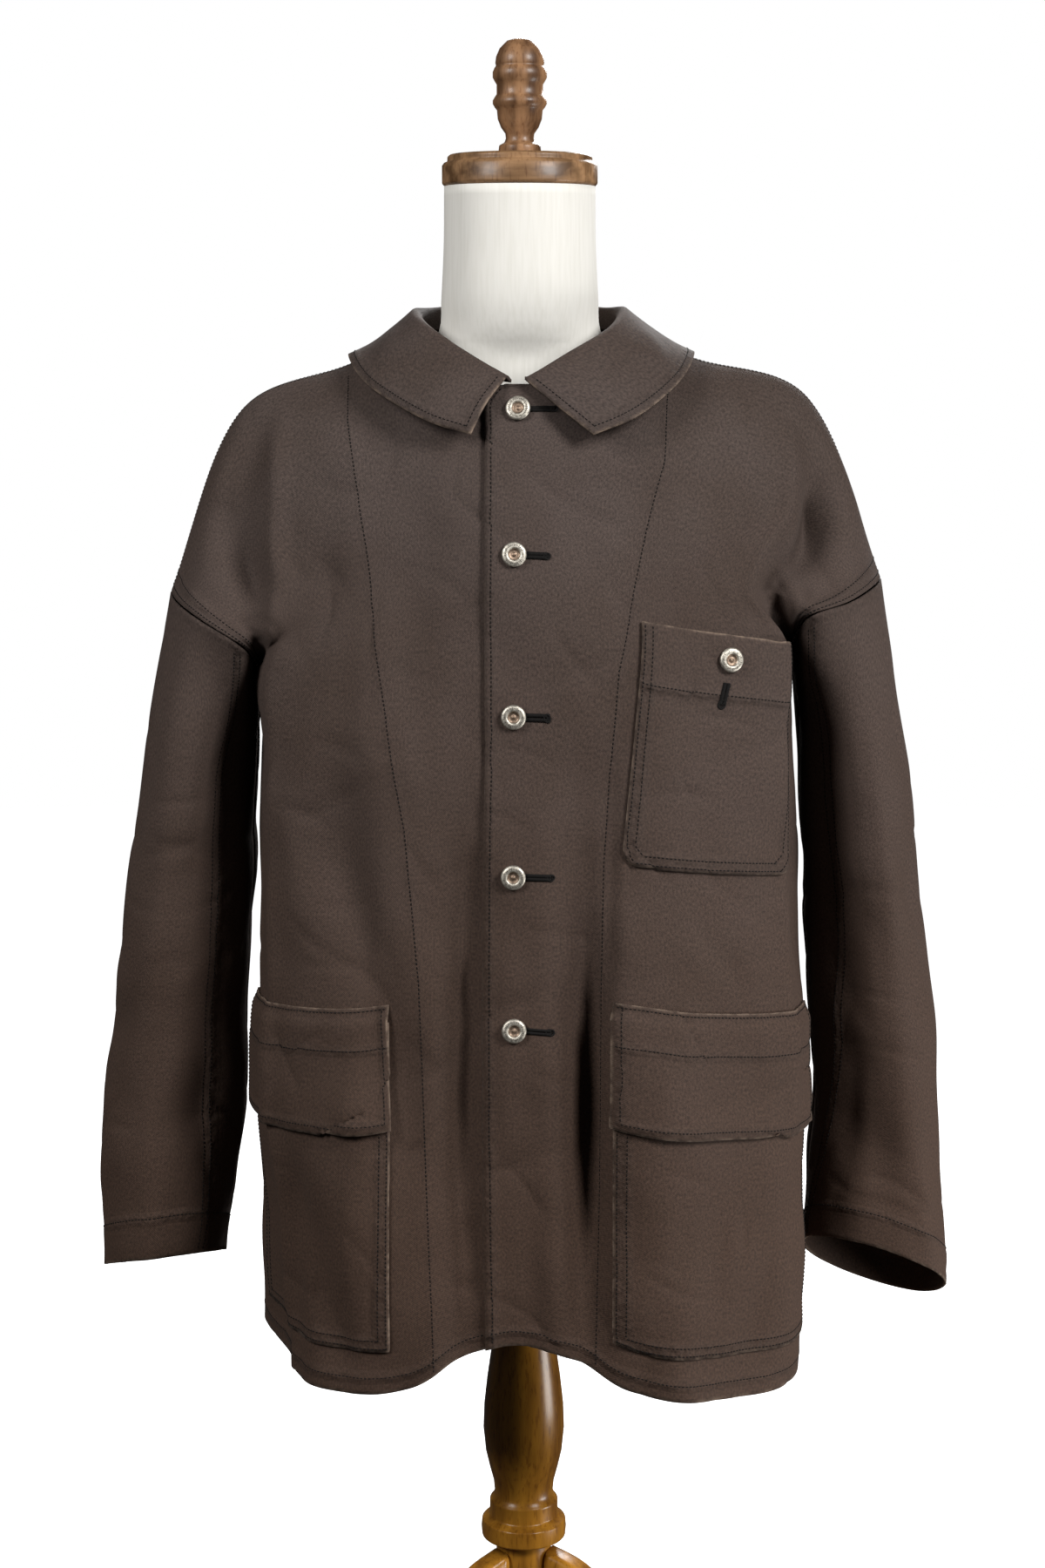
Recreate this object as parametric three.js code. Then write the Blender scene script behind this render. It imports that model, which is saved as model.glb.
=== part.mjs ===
// A chore jacket, buttoned to the neck, on a limbless dress form with a turned wooden stand.
// Millimetres, +Z up, the wearer faces -Y, and +X is on the right of someone who faces the jacket.
import * as THREE from 'three';

const vec = (x, y, z) => new THREE.Vector3(x, y, z);

// Driving dimensions
const NECK_BASE_Z = 1350; // height of the base of the neck above the floor
const STAND_CENTRE_Y = -46; // the pole stands this far in front of the middle of the whole part
const CLOTH = 2; // thickness of the doubled-up twill walls
const SEAM_GAP = 0.4; // distance kept where two pieces are sewn together
const LAY_GAP = 0.5; // distance between a panel and a piece that lies on it
const LAP = 21; // how far the buttoned front laps past the button line
const LAP_LIFT = CLOTH + LAY_GAP + 0.7; // the upper front stands this far off the lower one
const LAP_BLEND = [26, 62]; // the lift fades out over this stretch from the button line

// The body of the jacket is one surface with a front and a back face, each with two mirrored sides.
// A place on it is given as g, millimetres of cloth out from the centre line, and v, millimetres of
// cloth down from the shoulder. A row gives the shape at one v: mid is the centre line's x, left and
// right are the widths of the two sides as factors, drop is how much lower the right side hangs.
// The columns are points [out from the centre line, y, z above the base of the neck].
const COLUMNS = { centre: 0, throat: 45, neck: 80, middle: 130, corner: 205, side: 300 };
const SHOULDER_ROW = { v: 0, mid: -3, left: 0.985, right: 1.025, drop: -10,
  neck: [80, 0, 2], middle: [130, 0, -18], corner: [213, 0, -53], side: [268, 0, -187] };
const FRONT_ROWS = [
  { ...SHOULDER_ROW, centre: [4, -92, -32], throat: [50, -73, -22] },
  { v: 60, mid: -8, left: 0.965, right: 1.045, drop: -12,
    centre: [0, -106, -68], throat: [42, -101, -68], neck: [76, -82, -56],
    middle: [124, -66, -58], corner: [208, -50, -94], side: [259, -46, -192] },
  { v: 120, mid: -8, left: 0.965, right: 1.05, drop: -14,
    centre: [0, -119, -116], throat: [42, -116, -117], neck: [74, -107, -115],
    middle: [117, -96, -120], corner: [190, -74, -142], side: [237, -77, -203] },
  { v: 180, mid: -8, left: 0.96, right: 1.055, drop: -22,
    centre: [0, -128, -170], throat: [42, -126, -172], neck: [74, -121, -175],
    middle: [112, -112, -182], corner: [165, -97, -200], side: [205, -81, -223] },
  { v: 225, mid: -8, left: 0.96, right: 1.06, drop: -18,
    centre: [0, -133, -215], throat: [43, -132, -217], neck: [76, -128, -220],
    middle: [118, -118, -226], corner: [184, -87, -235], side: [201, 4, -246] },
  { v: 290, mid: -8, left: 0.955, right: 1.065, drop: -10,
    centre: [0, -139, -290], throat: [43, -138, -292], neck: [77, -135, -294],
    middle: [121, -126, -298], corner: [185, -86, -303], side: [201, 5, -307] },
  { v: 380, mid: -8, left: 0.95, right: 1.075, drop: 0,
    centre: [0, -145, -378], throat: [44, -145, -380], neck: [78, -143, -383],
    middle: [124, -134, -388], corner: [187, -88, -393], side: [203, 4, -396] },
  { v: 475, mid: -8, left: 0.945, right: 1.085, drop: 7,
    centre: [0, -152, -468], throat: [44, -154, -471], neck: [79, -154, -474],
    middle: [126, -146, -480], corner: [190, -95, -486], side: [206, 3, -488] },
  { v: 760, mid: -8, left: 0.945, right: 1.085, drop: 14,
    centre: [0, -158, -731], throat: [44, -162, -742], neck: [79, -166, -761],
    middle: [127, -162, -767], corner: [193, -106, -767], side: [208, 2, -763] },
];
const BACK_ROWS = [
  { ...SHOULDER_ROW, centre: [0, 71, 7], throat: [45, 56, 8] },
  { v: 60, mid: 3, left: 1.015, right: 1, drop: -12,
    centre: [0, 99, -38], throat: [42, 95, -38], neck: [78, 78, -42],
    middle: [124, 68, -54], corner: [208, 54, -92], side: [259, 50, -194] },
  { v: 120, mid: 3, left: 1.015, right: 1, drop: -14,
    centre: [0, 119, -100], throat: [43, 118, -101], neck: [78, 113, -104],
    middle: [123, 104, -114], corner: [192, 84, -140], side: [239, 84, -207] },
  { v: 180, mid: 3, left: 1.015, right: 1, drop: -22,
    centre: [0, 127, -160], throat: [44, 127, -161], neck: [79, 124, -165],
    middle: [122, 117, -174], corner: [175, 103, -195], side: [206, 86, -227] },
  { v: 225, mid: 3, left: 1.015, right: 1.005, drop: -18,
    centre: [0, 129, -210], throat: [44, 129, -211], neck: [80, 125, -214],
    middle: [124, 116, -221], corner: [181, 90, -233], side: [201, 4, -246] },
  { v: 290, mid: 3, left: 1.01, right: 1.01, drop: -10,
    centre: [0, 125, -288], throat: [44, 125, -289], neck: [80, 121, -292],
    middle: [125, 112, -297], corner: [182, 86, -303], side: [201, 5, -307] },
  { v: 380, mid: 3, left: 1.004, right: 1.02, drop: 0,
    centre: [0, 120, -380], throat: [44, 120, -380], neck: [80, 117, -384],
    middle: [126, 108, -389], corner: [184, 83, -394], side: [203, 4, -396] },
  { v: 475, mid: 3, left: 0.998, right: 1.032, drop: 7,
    centre: [0, 129, -476], throat: [44, 130, -477], neck: [81, 127, -480],
    middle: [128, 118, -484], corner: [187, 87, -487], side: [206, 3, -488] },
  { v: 760, mid: 3, left: 0.998, right: 1.032, drop: 14,
    centre: [0, 138, -766], throat: [44, 139, -767], neck: [81, 137, -768],
    middle: [129, 126, -768], corner: [190, 91, -767], side: [208, 2, -763] },
];
const ROWS = { front: FRONT_ROWS, back: BACK_ROWS };

// The largest folds, each a soft ridge (rise over 0) or trough (rise under 0) along a line from
// (g0, v0) to (g1, v1). spread is its half width, and it fades out at both ends over fade.
const FOLDS = {
  front: {
    left: [
      { g0: 34, v0: 470, g1: 40, v1: 800, spread: 24, rise: -9, fade: 120 },
      { g0: 92, v0: 600, g1: 86, v1: 800, spread: 26, rise: 8, fade: 120 },
      { g0: 176, v0: 560, g1: 182, v1: 800, spread: 14, rise: -7, fade: 60 },
      { g0: 236, v0: 40, g1: 238, v1: 170, spread: 17, rise: -7, fade: 40 },
      { g0: 66, v0: 110, g1: 96, v1: 300, spread: 26, rise: -5, fade: 70 },
      { g0: 222, v0: 520, g1: 224, v1: 960, spread: 40, rise: -20, fade: 200 },
    ],
    right: [
      { g0: 44, v0: 250, g1: 50, v1: 800, spread: 20, rise: -14, fade: 260 },
      { g0: 84, v0: 420, g1: 84, v1: 800, spread: 30, rise: 8, fade: 140 },
      { g0: 236, v0: 40, g1: 238, v1: 170, spread: 17, rise: -7, fade: 40 },
      { g0: 150, v0: 420, g1: 158, v1: 700, spread: 30, rise: -4, fade: 80 },
    ],
  },
  back: {
    left: [
      { g0: 58, v0: 150, g1: 70, v1: 620, spread: 30, rise: -7, fade: 150 },
      { g0: 150, v0: 330, g1: 158, v1: 800, spread: 26, rise: -8, fade: 180 },
    ],
    right: [
      { g0: 76, v0: 190, g1: 62, v1: 560, spread: 28, rise: -6, fade: 140 },
      { g0: 160, v0: 300, g1: 150, v1: 800, spread: 26, rise: -8, fade: 180 },
    ],
  },
};

// Sleeves: a row gives one ring of the tube, with its distance along the sleeve from the armhole, its
// middle height z and how far it reaches each way. lean is the slope of the ring towards the back.
const SLEEVE_ROWS = {
  left: [
    { along: 75, z: -300, inner: 205, outer: 288, front: -77, back: 95, lean: -0.05, tip: 0 },
    { along: 165, z: -390, inner: 208, outer: 303, front: -74, back: 91, lean: -0.12, tip: 0 },
    { along: 255, z: -480, inner: 213, outer: 315, front: -69, back: 84, lean: -0.2, tip: 0 },
    { along: 345, z: -570, inner: 217, outer: 325, front: -65, back: 76, lean: -0.3, tip: 0.05 },
    { along: 420, z: -645, inner: 225, outer: 330, front: -61, back: 69, lean: -0.42, tip: 0.1 },
    { along: 488, z: -713, inner: 236, outer: 332, front: -58, back: 64, lean: -0.53, tip: 0.12 },
  ],
  right: [
    { along: 75, z: -290, inner: 211, outer: 290, front: -77, back: 95, lean: -0.05, tip: 0 },
    { along: 165, z: -380, inner: 216, outer: 303, front: -74, back: 91, lean: -0.12, tip: 0 },
    { along: 255, z: -475, inner: 223, outer: 315, front: -69, back: 84, lean: -0.2, tip: -0.1 },
    { along: 345, z: -570, inner: 228, outer: 326, front: -65, back: 76, lean: -0.3, tip: -0.2 },
    { along: 425, z: -650, inner: 226, outer: 331, front: -61, back: 70, lean: -0.42, tip: -0.28 },
    { along: 498, z: -722, inner: 223, outer: 334, front: -58, back: 66, lean: -0.52, tip: -0.35 },
  ],
};
// Folds round the sleeves: turn is the place round the ring, 0 under the arm, 0.25 in front, 0.5 outside.
const SLEEVE_FOLDS = {
  left: [
    { t0: 0.14, s0: 40, t1: 0.2, s1: 330, spread: 26, rise: -7, fade: 90 },
    { t0: 0.2, s0: 330, t1: 0.17, s1: 520, spread: 16, rise: 5, fade: 70 },
    { t0: 0.66, s0: 90, t1: 0.74, s1: 360, spread: 30, rise: -7, fade: 90 },
    { t0: 0.36, s0: 210, t1: 0.5, s1: 265, spread: 20, rise: -4, fade: 60 },
  ],
  right: [
    { t0: 0.13, s0: 60, t1: 0.18, s1: 360, spread: 26, rise: -7, fade: 90 },
    { t0: 0.27, s0: 330, t1: 0.25, s1: 520, spread: 16, rise: -6, fade: 80 },
    { t0: 0.68, s0: 90, t1: 0.72, s1: 380, spread: 30, rise: -7, fade: 90 },
    { t0: 0.36, s0: 190, t1: 0.5, s1: 240, spread: 20, rise: -4, fade: 60 },
  ],
};

// Collar: the stand rises from the neckline at (face, side, g) to the roll, and the leaf falls to its edge.
// clear is how far the stand's lower edge keeps above the neckline, bulge how far the leaf bows outwards.
const COLLAR_CLOTH = 2.4;
const COLLAR_ROLL = 5.5; // radius of the fold at the top of the collar
const COLLAR_ROWS = [
  { face: 'front', side: 'left', g: 1, clear: 3.6, bulge: 3.5, roll: [-11, -98, -25], edge: [-37, -119, -66] },
  { face: 'front', side: 'left', g: 30, clear: 1.2, bulge: 3.5, roll: [-38, -86, -9], edge: [-72, -110, -55] },
  { face: 'front', side: 'left', g: 58, clear: 1.2, bulge: 1.5, roll: [-69, -51, 11], edge: [-114, -67, -31] },
  { face: 'front', side: 'left', g: 80, clear: 1.2, bulge: -2.5, roll: [-77, -3, 22], edge: [-131, 0, -10] },
  { face: 'back', side: 'left', g: 60, clear: 1.2, bulge: 1, roll: [-64, 44, 25], edge: [-116, 76, -22] },
  { face: 'back', side: 'left', g: 20, clear: 1.2, bulge: 3.5, roll: [-26, 74, 29], edge: [-48, 122, -40] },
  { face: 'back', side: 'right', g: 20, clear: 1.2, bulge: 3.5, roll: [22, 74, 29], edge: [46, 122, -40] },
  { face: 'back', side: 'right', g: 60, clear: 1.2, bulge: 1, roll: [60, 44, 25], edge: [114, 76, -21] },
  { face: 'front', side: 'right', g: 80, clear: 1.2, bulge: -2.5, roll: [72, -3, 23], edge: [129, 0, -8] },
  { face: 'front', side: 'right', g: 58, clear: 1.2, bulge: 1.5, roll: [64, -51, 10], edge: [116, -67, -28] },
  { face: 'front', side: 'right', g: 30, clear: 1.2, bulge: 3.5, roll: [30, -89, -10], edge: [85, -107, -52] },
  { face: 'front', side: 'right', g: 1, clear: 5.9, bulge: 3.5, roll: [2, -102, -27], edge: [51, -121, -66] },
];

// Pockets and flaps, by the places g and v of their edges on the fronts
const POCKET_CLOTH = 1.6;
const FLAP_CLOTH = 1.8;
const FLAP_TOP_V = 475;
const POCKET_TOP_V = 488;
const FLAP_BOTTOM_V = 567;
const POCKET_BOTTOM_V = 728;
const POCKET_G = { left: [96, 262], right: [70, 243] };
const CHEST_POCKET = { top: [{ g: 96, z: -200 }, { g: 226, z: -222 }],
  bottom: [{ g: 76, z: -374 }, { g: 207, z: -392 }], corner: 12, columns: 9, rows: 9 };

// Buttons
const BUTTON_RADIUS = 9;
const BUTTON_HEIGHT = 4.2;
const BUTTON_SHANK = 0.8; // the pocket's button stands this far off its cloth
const BUTTON_G = 1.5;
const BUTTON_Z = [-50, -152, -267, -382, -494];
const POCKET_BUTTON = { g: 160, z: -229 };

// Dress form: rings of the torso and neck, z above the base of the neck
const FORM_X = -2;
const FORM_RINGS = [
  { z: -660, half: 148, depth: 98, y: 4 }, { z: -600, half: 158, depth: 106, y: 4 },
  { z: -500, half: 156, depth: 103, y: 2 }, { z: -400, half: 138, depth: 90, y: -4 },
  { z: -330, half: 131, depth: 85, y: -6 }, { z: -230, half: 148, depth: 98, y: -8 },
  { z: -150, half: 168, depth: 100, y: -4 }, { z: -100, half: 188, depth: 82, y: 0 },
  { z: -66.4, half: 194, depth: 65, y: 0 }, { z: -54, half: 189, depth: 54, y: 0 },
  { z: -42, half: 172, depth: 45, y: 0 }, { z: -29, half: 143, depth: 41, y: 0 },
  { z: -16, half: 107, depth: 41, y: 0 }, { z: -8, half: 74, depth: 43, y: 0 },
  { z: 6, half: 61.5, depth: 51, y: 0 }, { z: 30, half: 59.5, depth: 57, y: 0 },
  { z: 70, half: 57.5, depth: 57.5, y: 0 }, { z: 112.7, half: 57, depth: 57, y: 0 },
];
// Turned profiles: radius and height above the base of the neck, from the bottom up
const CAP_PROFILE = [[0, 113], [56, 113], [58, 115], [58, 128], [56, 130], [54, 131], [54, 134.5], [52, 136],
  [0, 136]];
const FINIAL_PROFILE = [[0, 136.3], [15, 136.3], [15.5, 143], [10.5, 146], [10.5, 151], [14, 156], [16.5, 163],
  [17, 169], [20, 171.5], [20, 176.5], [17.4, 179], [17.4, 188], [20, 191], [20, 197], [17.8, 200],
  [17.5, 206], [15, 213], [9, 219], [0, 221]];
const POLE_X = 1;
const POLE_PROFILE = [[0, -950], [30, -950], [33.7, -947], [33.7, -935], [30, -932], [27, -930], [27, -917],
  [23.3, -913], [24.5, -901], [30, -878], [32.3, -856], [31, -832], [27, -802], [23, -770], [21, -740],
  [21, -660.3], [0, -660.3]];
const HUB_PROFILE = [[0, -1062], [16, -1062], [22, -1054], [22, -950.3], [0, -950.3]];
const TURNED_SIDES = 16;
// Legs: the middle of each section, out from the pole and above the floor, its height and its width
const LEG_TURNS = [-53, 67, 187]; // degrees from straight ahead, towards +X
const LEG_ROWS = [
  { out: 22.6, z: 366, tall: 54, wide: 24, pitch: 0 }, { out: 46, z: 354, tall: 52, wide: 26, pitch: 32 },
  { out: 84, z: 318, tall: 46, wide: 26, pitch: 50 }, { out: 124, z: 256, tall: 40, wide: 25, pitch: 62 },
  { out: 152, z: 190, tall: 34, wide: 24, pitch: 68 }, { out: 178, z: 122, tall: 30, wide: 23, pitch: 64 },
  { out: 206, z: 68, tall: 28, wide: 24, pitch: 58 }, { out: 232, z: 30, tall: 32, wide: 27, pitch: 66 },
  { out: 246, z: 0, tall: 40, wide: 32, pitch: 90 },
];
const LEG_CHAMFER = 0.24; // share of a leg section's half width and height cut off its edges

// Cloth, thread and wood
const cloth = new THREE.MeshStandardMaterial({ name: 'jacket_cloth', color: 0x3b302b, roughness: 0.9 });
const metal = new THREE.MeshStandardMaterial({ name: 'button_metal', color: 0x9a9183, roughness: 0.45,
  metalness: 0.9 });
const linen = new THREE.MeshStandardMaterial({ name: 'form_linen', color: 0xebe8dc, roughness: 0.95 });
const wood = new THREE.MeshStandardMaterial({ name: 'stand_wood', color: 0x6b4426, roughness: 0.5 });

const jacket = new THREE.Group();
const stand = new THREE.Group();
const part = new THREE.Group();
jacket.position.z = NECK_BASE_Z;
stand.position.z = NECK_BASE_Z;
part.add(jacket, stand);
part.position.y = STAND_CENTRE_Y;

// Curves through rows of uneven spacing
function hermite(before, start, end, after, knots, t) {
  const [k0, k1, k2, k3] = knots;
  const span = k2 - k1;
  const x = (t - k1) / span;
  const slope = (a, b, gap) => b.clone().sub(a).multiplyScalar(span / gap);
  const m1 = slope(before, end, k2 - k0);
  const m2 = slope(start, after, k3 - k1);
  return start.clone().multiplyScalar(2 * x ** 3 - 3 * x ** 2 + 1)
    .addScaledVector(m1, x ** 3 - 2 * x ** 2 + x)
    .addScaledVector(end, 3 * x ** 2 - 2 * x ** 3)
    .addScaledVector(m2, x ** 3 - x ** 2);
}

function spanOf(knots, t) {
  let i = 0;
  while (i < knots.length - 2 && t > knots[i + 1]) i += 1;
  return i;
}

function through(knots, points, t, ends = {}) {
  const i = spanOf(knots, t);
  const last = knots.length - 1;
  const reflect = (a, b) => a.clone().multiplyScalar(2).sub(b);
  const before = i > 0 ? points[i - 1] : ends.first ?? reflect(points[0], points[1]);
  const after = i + 2 <= last ? points[i + 2] : ends.last ?? reflect(points[last], points[last - 1]);
  const k0 = i > 0 ? knots[i - 1] : 2 * knots[0] - knots[1];
  const k3 = i + 2 <= last ? knots[i + 2] : 2 * knots[last] - knots[last - 1];
  return hermite(before, points[i], points[i + 1], after, [k0, knots[i], knots[i + 1], k3], t);
}

const smooth = (from, to, x) => THREE.MathUtils.smoothstep(x, Math.min(from, to), Math.max(from, to));

// The surface of the body without its folds
const COLUMN_NAMES = Object.keys(COLUMNS);
const COLUMN_KNOTS = Object.values(COLUMNS);
const DROP_SHARE = { centre: 0, throat: 0, neck: 0.1, middle: 0.45, corner: 1, side: 1 };
const OTHER_FACE = { front: 'back', back: 'front' };

function controlPoint(row, side, name) {
  const [out, y, z] = row[name];
  const sign = side === 'left' ? -1 : 1;
  const lower = side === 'right' ? row.drop * DROP_SHARE[name] : 0;
  return vec(row.mid + sign * out * row[side], y, z - lower);
}

const UNDERARM_V = 225;
const UNDERARM_ROW = FRONT_ROWS.findIndex((row) => row.v === UNDERARM_V);
function columnPoint(face, side, name, v) {
  const rows = ROWS[face];
  const points = rows.map((row) => controlPoint(row, side, name));
  if (name === 'side') {
    // The side seam ends under the arm, where the armhole runs on round to the other face.
    const [from, to] = v < UNDERARM_V ? [0, UNDERARM_ROW + 1] : [UNDERARM_ROW, rows.length];
    const round = controlPoint(ROWS[OTHER_FACE[face]][UNDERARM_ROW - 1], side, name);
    return through(rows.slice(from, to).map((row) => row.v), points.slice(from, to), v,
      from === 0 ? { last: round, first: controlPoint(ROWS[OTHER_FACE[face]][1], side, name) } : {});
  }
  const joined = COLUMNS[name] >= COLUMNS.neck;
  const first = joined ? controlPoint(ROWS[OTHER_FACE[face]][1], side, name) : undefined;
  return through(rows.map((row) => row.v), points, v, { first });
}

const SHOULDER_BLEND = 40;
function plainBody(face, side, g, v) {
  const points = COLUMN_NAMES.map((name) => columnPoint(face, side, name, v));
  const mirrored = columnPoint(face, side, 'throat', v);
  mirrored.x = 2 * points[0].x - mirrored.x;
  const around = columnPoint(OTHER_FACE[face], side, 'corner', v);
  const last = v >= UNDERARM_V ? around : undefined;
  if (g > COLUMNS.neck && v < SHOULDER_BLEND) {
    // Along the shoulder seam both faces follow one line, whatever their necklines do.
    const straight = points[2].clone().multiplyScalar(2).sub(points[3]);
    points[1].lerpVectors(straight, points[1], smooth(0, SHOULDER_BLEND, v));
  }
  return through(COLUMN_KNOTS, points, g, { first: mirrored, last });
}

// How far a fold lifts the cloth at a place (a, b), both in millimetres of cloth
function foldRise(a, b, a0, b0, a1, b1, fold) {
  const length = Math.hypot(a1 - a0, b1 - b0);
  const along = ((a - a0) * (a1 - a0) + (b - b0) * (b1 - b0)) / length;
  const off = ((a - a0) * (b1 - b0) - (b - b0) * (a1 - a0)) / length;
  const ends = smooth(0, fold.fade, along) * smooth(0, fold.fade, length - along);
  return fold.rise * Math.exp(-((off / fold.spread) ** 2)) * ends;
}

const STEP = 1; // distance at which slopes are taken
function normalOf(surface, a, b) {
  const across = surface(a + STEP, b).sub(surface(a - STEP, b));
  const down = surface(a, b + STEP).sub(surface(a, b - STEP));
  return across.cross(down).normalize();
}

const FOLD_END = { centre: 12, side: 24, shoulder: 24 }; // folds die away this near to a seam

// The outer surface of the jacket's body. g under 0 runs on past the centre line onto the other side.
function bodyPoint(face, side, g, v) {
  if (g < 0) return bodyPoint(face, side === 'left' ? 'right' : 'left', -g, v);
  const turn = (side === 'right') === (face === 'front') ? 1 : -1;
  const plain = (a, b) => plainBody(face, side, a, b);
  const inward = normalOf(plain, g, v).multiplyScalar(turn);
  const rise = FOLDS[face][side].reduce((sum, fold) => sum
    + foldRise(g, v, fold.g0, fold.v0, fold.g1, fold.v1, fold), 0);
  const seamed = smooth(0, FOLD_END.centre, g) * smooth(0, FOLD_END.side, COLUMNS.side - g)
    * smooth(0, FOLD_END.shoulder, v);
  return plain(g, v).addScaledVector(inward, -rise * seamed);
}

// The place v where the cloth at g lies at height z
function levelAt(face, side, g, z) {
  let [high, low] = [0, FRONT_ROWS.at(-1).v];
  for (let i = 0; i < 30; i += 1) {
    const v = (high + low) / 2;
    if (plainBody(face, side, Math.abs(g), v).z > z) high = v;
    else low = v;
  }
  return (high + low) / 2;
}

// Grids of points and normals. outward(point) says roughly which way is out of the garment.
function grid(rowCount, columnCount, place, outward, closed = false) {
  const points = [];
  for (let i = 0; i < rowCount; i += 1) {
    points.push([]);
    for (let j = 0; j < columnCount; j += 1) points[i].push(place(i, j));
  }
  const at = (i, j) => {
    const row = points[THREE.MathUtils.clamp(i, 0, rowCount - 1)];
    return closed ? row[(j + columnCount) % columnCount] : row[THREE.MathUtils.clamp(j, 0, columnCount - 1)];
  };
  const normals = points.map((row, i) => row.map((point, j) => {
    const across = at(i, j + 1).clone().sub(at(i, j - 1));
    const down = at(i + 1, j).clone().sub(at(i - 1, j));
    return across.cross(down).normalize();
  }));
  const [i, j] = [Math.floor(rowCount / 2), Math.floor(columnCount / 2)];
  if (normals[i][j].dot(outward(points[i][j])) < 0) normals.flat().forEach((normal) => normal.negate());
  return { points, normals, closed };
}

// Where two grids are sewn edge to edge, both edges take the same normal, so their walls stay apart.
const SEAM_REACH = 3;
const SAME_WAY = 0.2;
function edgeOf(panel) {
  const list = [];
  panel.points.forEach((row, i) => row.forEach((point, j) => {
    const rim = i === 0 || i === panel.points.length - 1
      || (!panel.closed && (j === 0 || j === row.length - 1));
    if (rim) list.push({ point, normal: panel.normals[i][j] });
  }));
  return list;
}

function shareSeamNormals(panels) {
  const edges = panels.map(edgeOf);
  const shared = edges.map((edge, own) => edge.map(({ point, normal }) => {
    const sum = normal.clone();
    edges.forEach((other, index) => {
      if (index === own) return;
      const near = other.filter((entry) => entry.point.distanceTo(point) < SEAM_REACH);
      near.sort((a, b) => a.point.distanceTo(point) - b.point.distanceTo(point));
      if (near.length > 0 && near[0].normal.dot(normal) > SAME_WAY) sum.add(near[0].normal);
    });
    return sum.normalize();
  }));
  edges.forEach((edge, own) => edge.forEach(({ normal }, index) => normal.copy(shared[own][index])));
}

// A closed mesh from triangles, turned so that its faces point out
function solid(vertices, triangles) {
  let volume = 0;
  triangles.forEach(([a, b, c]) => {
    volume += vertices[a].dot(vertices[b].clone().cross(vertices[c]));
  });
  const turned = volume < 0 ? triangles.map(([a, b, c]) => [a, c, b]) : triangles;
  const geometry = new THREE.BufferGeometry();
  geometry.setAttribute('position', new THREE.Float32BufferAttribute(vertices.flatMap((p) => p.toArray()), 3));
  geometry.setIndex(turned.flat());
  geometry.computeVertexNormals();
  return geometry;
}

// A wall of cloth: the grid is its outer face, and its inner face lies a thickness behind it.
function wall({ points, normals, closed }, thickness, lift = 0) {
  const [rowCount, columnCount] = [points.length, points[0].length];
  const vertices = [];
  [lift, lift - thickness].forEach((offset) => points.forEach((row, i) => row.forEach((point, j) => {
    vertices.push(point.clone().addScaledVector(normals[i][j], offset));
  })));
  const layer = rowCount * columnCount;
  const id = (i, j, inner) => i * columnCount + (j % columnCount) + (inner ? layer : 0);
  const triangles = [];
  const quad = (a, b, c, d) => triangles.push([a, b, c], [a, c, d]);
  const spans = closed ? columnCount : columnCount - 1;
  for (let i = 0; i < rowCount - 1; i += 1) {
    for (let j = 0; j < spans; j += 1) {
      quad(id(i, j), id(i, j + 1), id(i + 1, j + 1), id(i + 1, j));
      quad(id(i, j, true), id(i + 1, j, true), id(i + 1, j + 1, true), id(i, j + 1, true));
    }
  }
  const bottom = rowCount - 1;
  for (let j = 0; j < spans; j += 1) {
    quad(id(0, j), id(0, j, true), id(0, j + 1, true), id(0, j + 1));
    quad(id(bottom, j), id(bottom, j + 1), id(bottom, j + 1, true), id(bottom, j, true));
  }
  for (let i = 0; i < bottom && !closed; i += 1) {
    const right = columnCount - 1;
    quad(id(i, 0), id(i + 1, 0), id(i + 1, 0, true), id(i, 0, true));
    quad(id(i, right), id(i, right, true), id(i + 1, right, true), id(i + 1, right));
  }
  return solid(vertices, triangles);
}

// Part of a grid, for a piece that lies on it
function patch(panel, rows, columns, lift) {
  const cut = (table) => table.slice(rows[0], rows[1] + 1).map((row) => row.slice(columns[0], columns[1] + 1));
  const normals = cut(panel.normals);
  const points = cut(panel.points).map((row, i) => row.map((point, j) => point.clone()
    .addScaledVector(normals[i][j], lift(i, j))));
  return { points, normals, closed: false };
}

function add(group, name, geometry, material) {
  const mesh = new THREE.Mesh(geometry, material);
  mesh.name = name;
  group.add(mesh);
  return mesh;
}

// Numbers from one stop to the next in even steps
function lines(stops, steps) {
  const list = [stops[0]];
  steps.forEach((count, i) => {
    for (let k = 1; k <= count; k += 1) list.push(THREE.MathUtils.lerp(stops[i], stops[i + 1], k / count));
  });
  return list;
}

// Fronts. Both reach past the button line, and the wearer's left front lies on top.
const fromAxis = (point) => vec(point.x, point.y, 0);
const ARMHOLE_V = lines([0, 60, UNDERARM_V], [3, 6]);
const BODY_V = [...ARMHOLE_V, ...lines([UNDERARM_V, 290, FLAP_TOP_V, POCKET_TOP_V, FLAP_BOTTOM_V,
  POCKET_BOTTOM_V, 760], [2, 4, 1, 2, 4, 1]).slice(1)];
const BODY_G = {
  left: lines([0, LAP, POCKET_G.left[0], POCKET_G.left[1], COLUMNS.side - SEAM_GAP / 2], [1, 3, 8, 2]),
  right: lines([0, LAP, POCKET_G.right[0], POCKET_G.right[1], COLUMNS.side - SEAM_GAP / 2], [1, 2, 8, 2]),
};
const TOP_CURVE = 34; // the free front edge curves in over this length at the top
const TOP_ROUNDING = 0.96; // 1 would bring the curve right in to the button line
const edgeReach = (v) => LAP * Math.sqrt(1 - (1 - Math.min(v / TOP_CURVE, 1)) ** 2 * TOP_ROUNDING);

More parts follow.
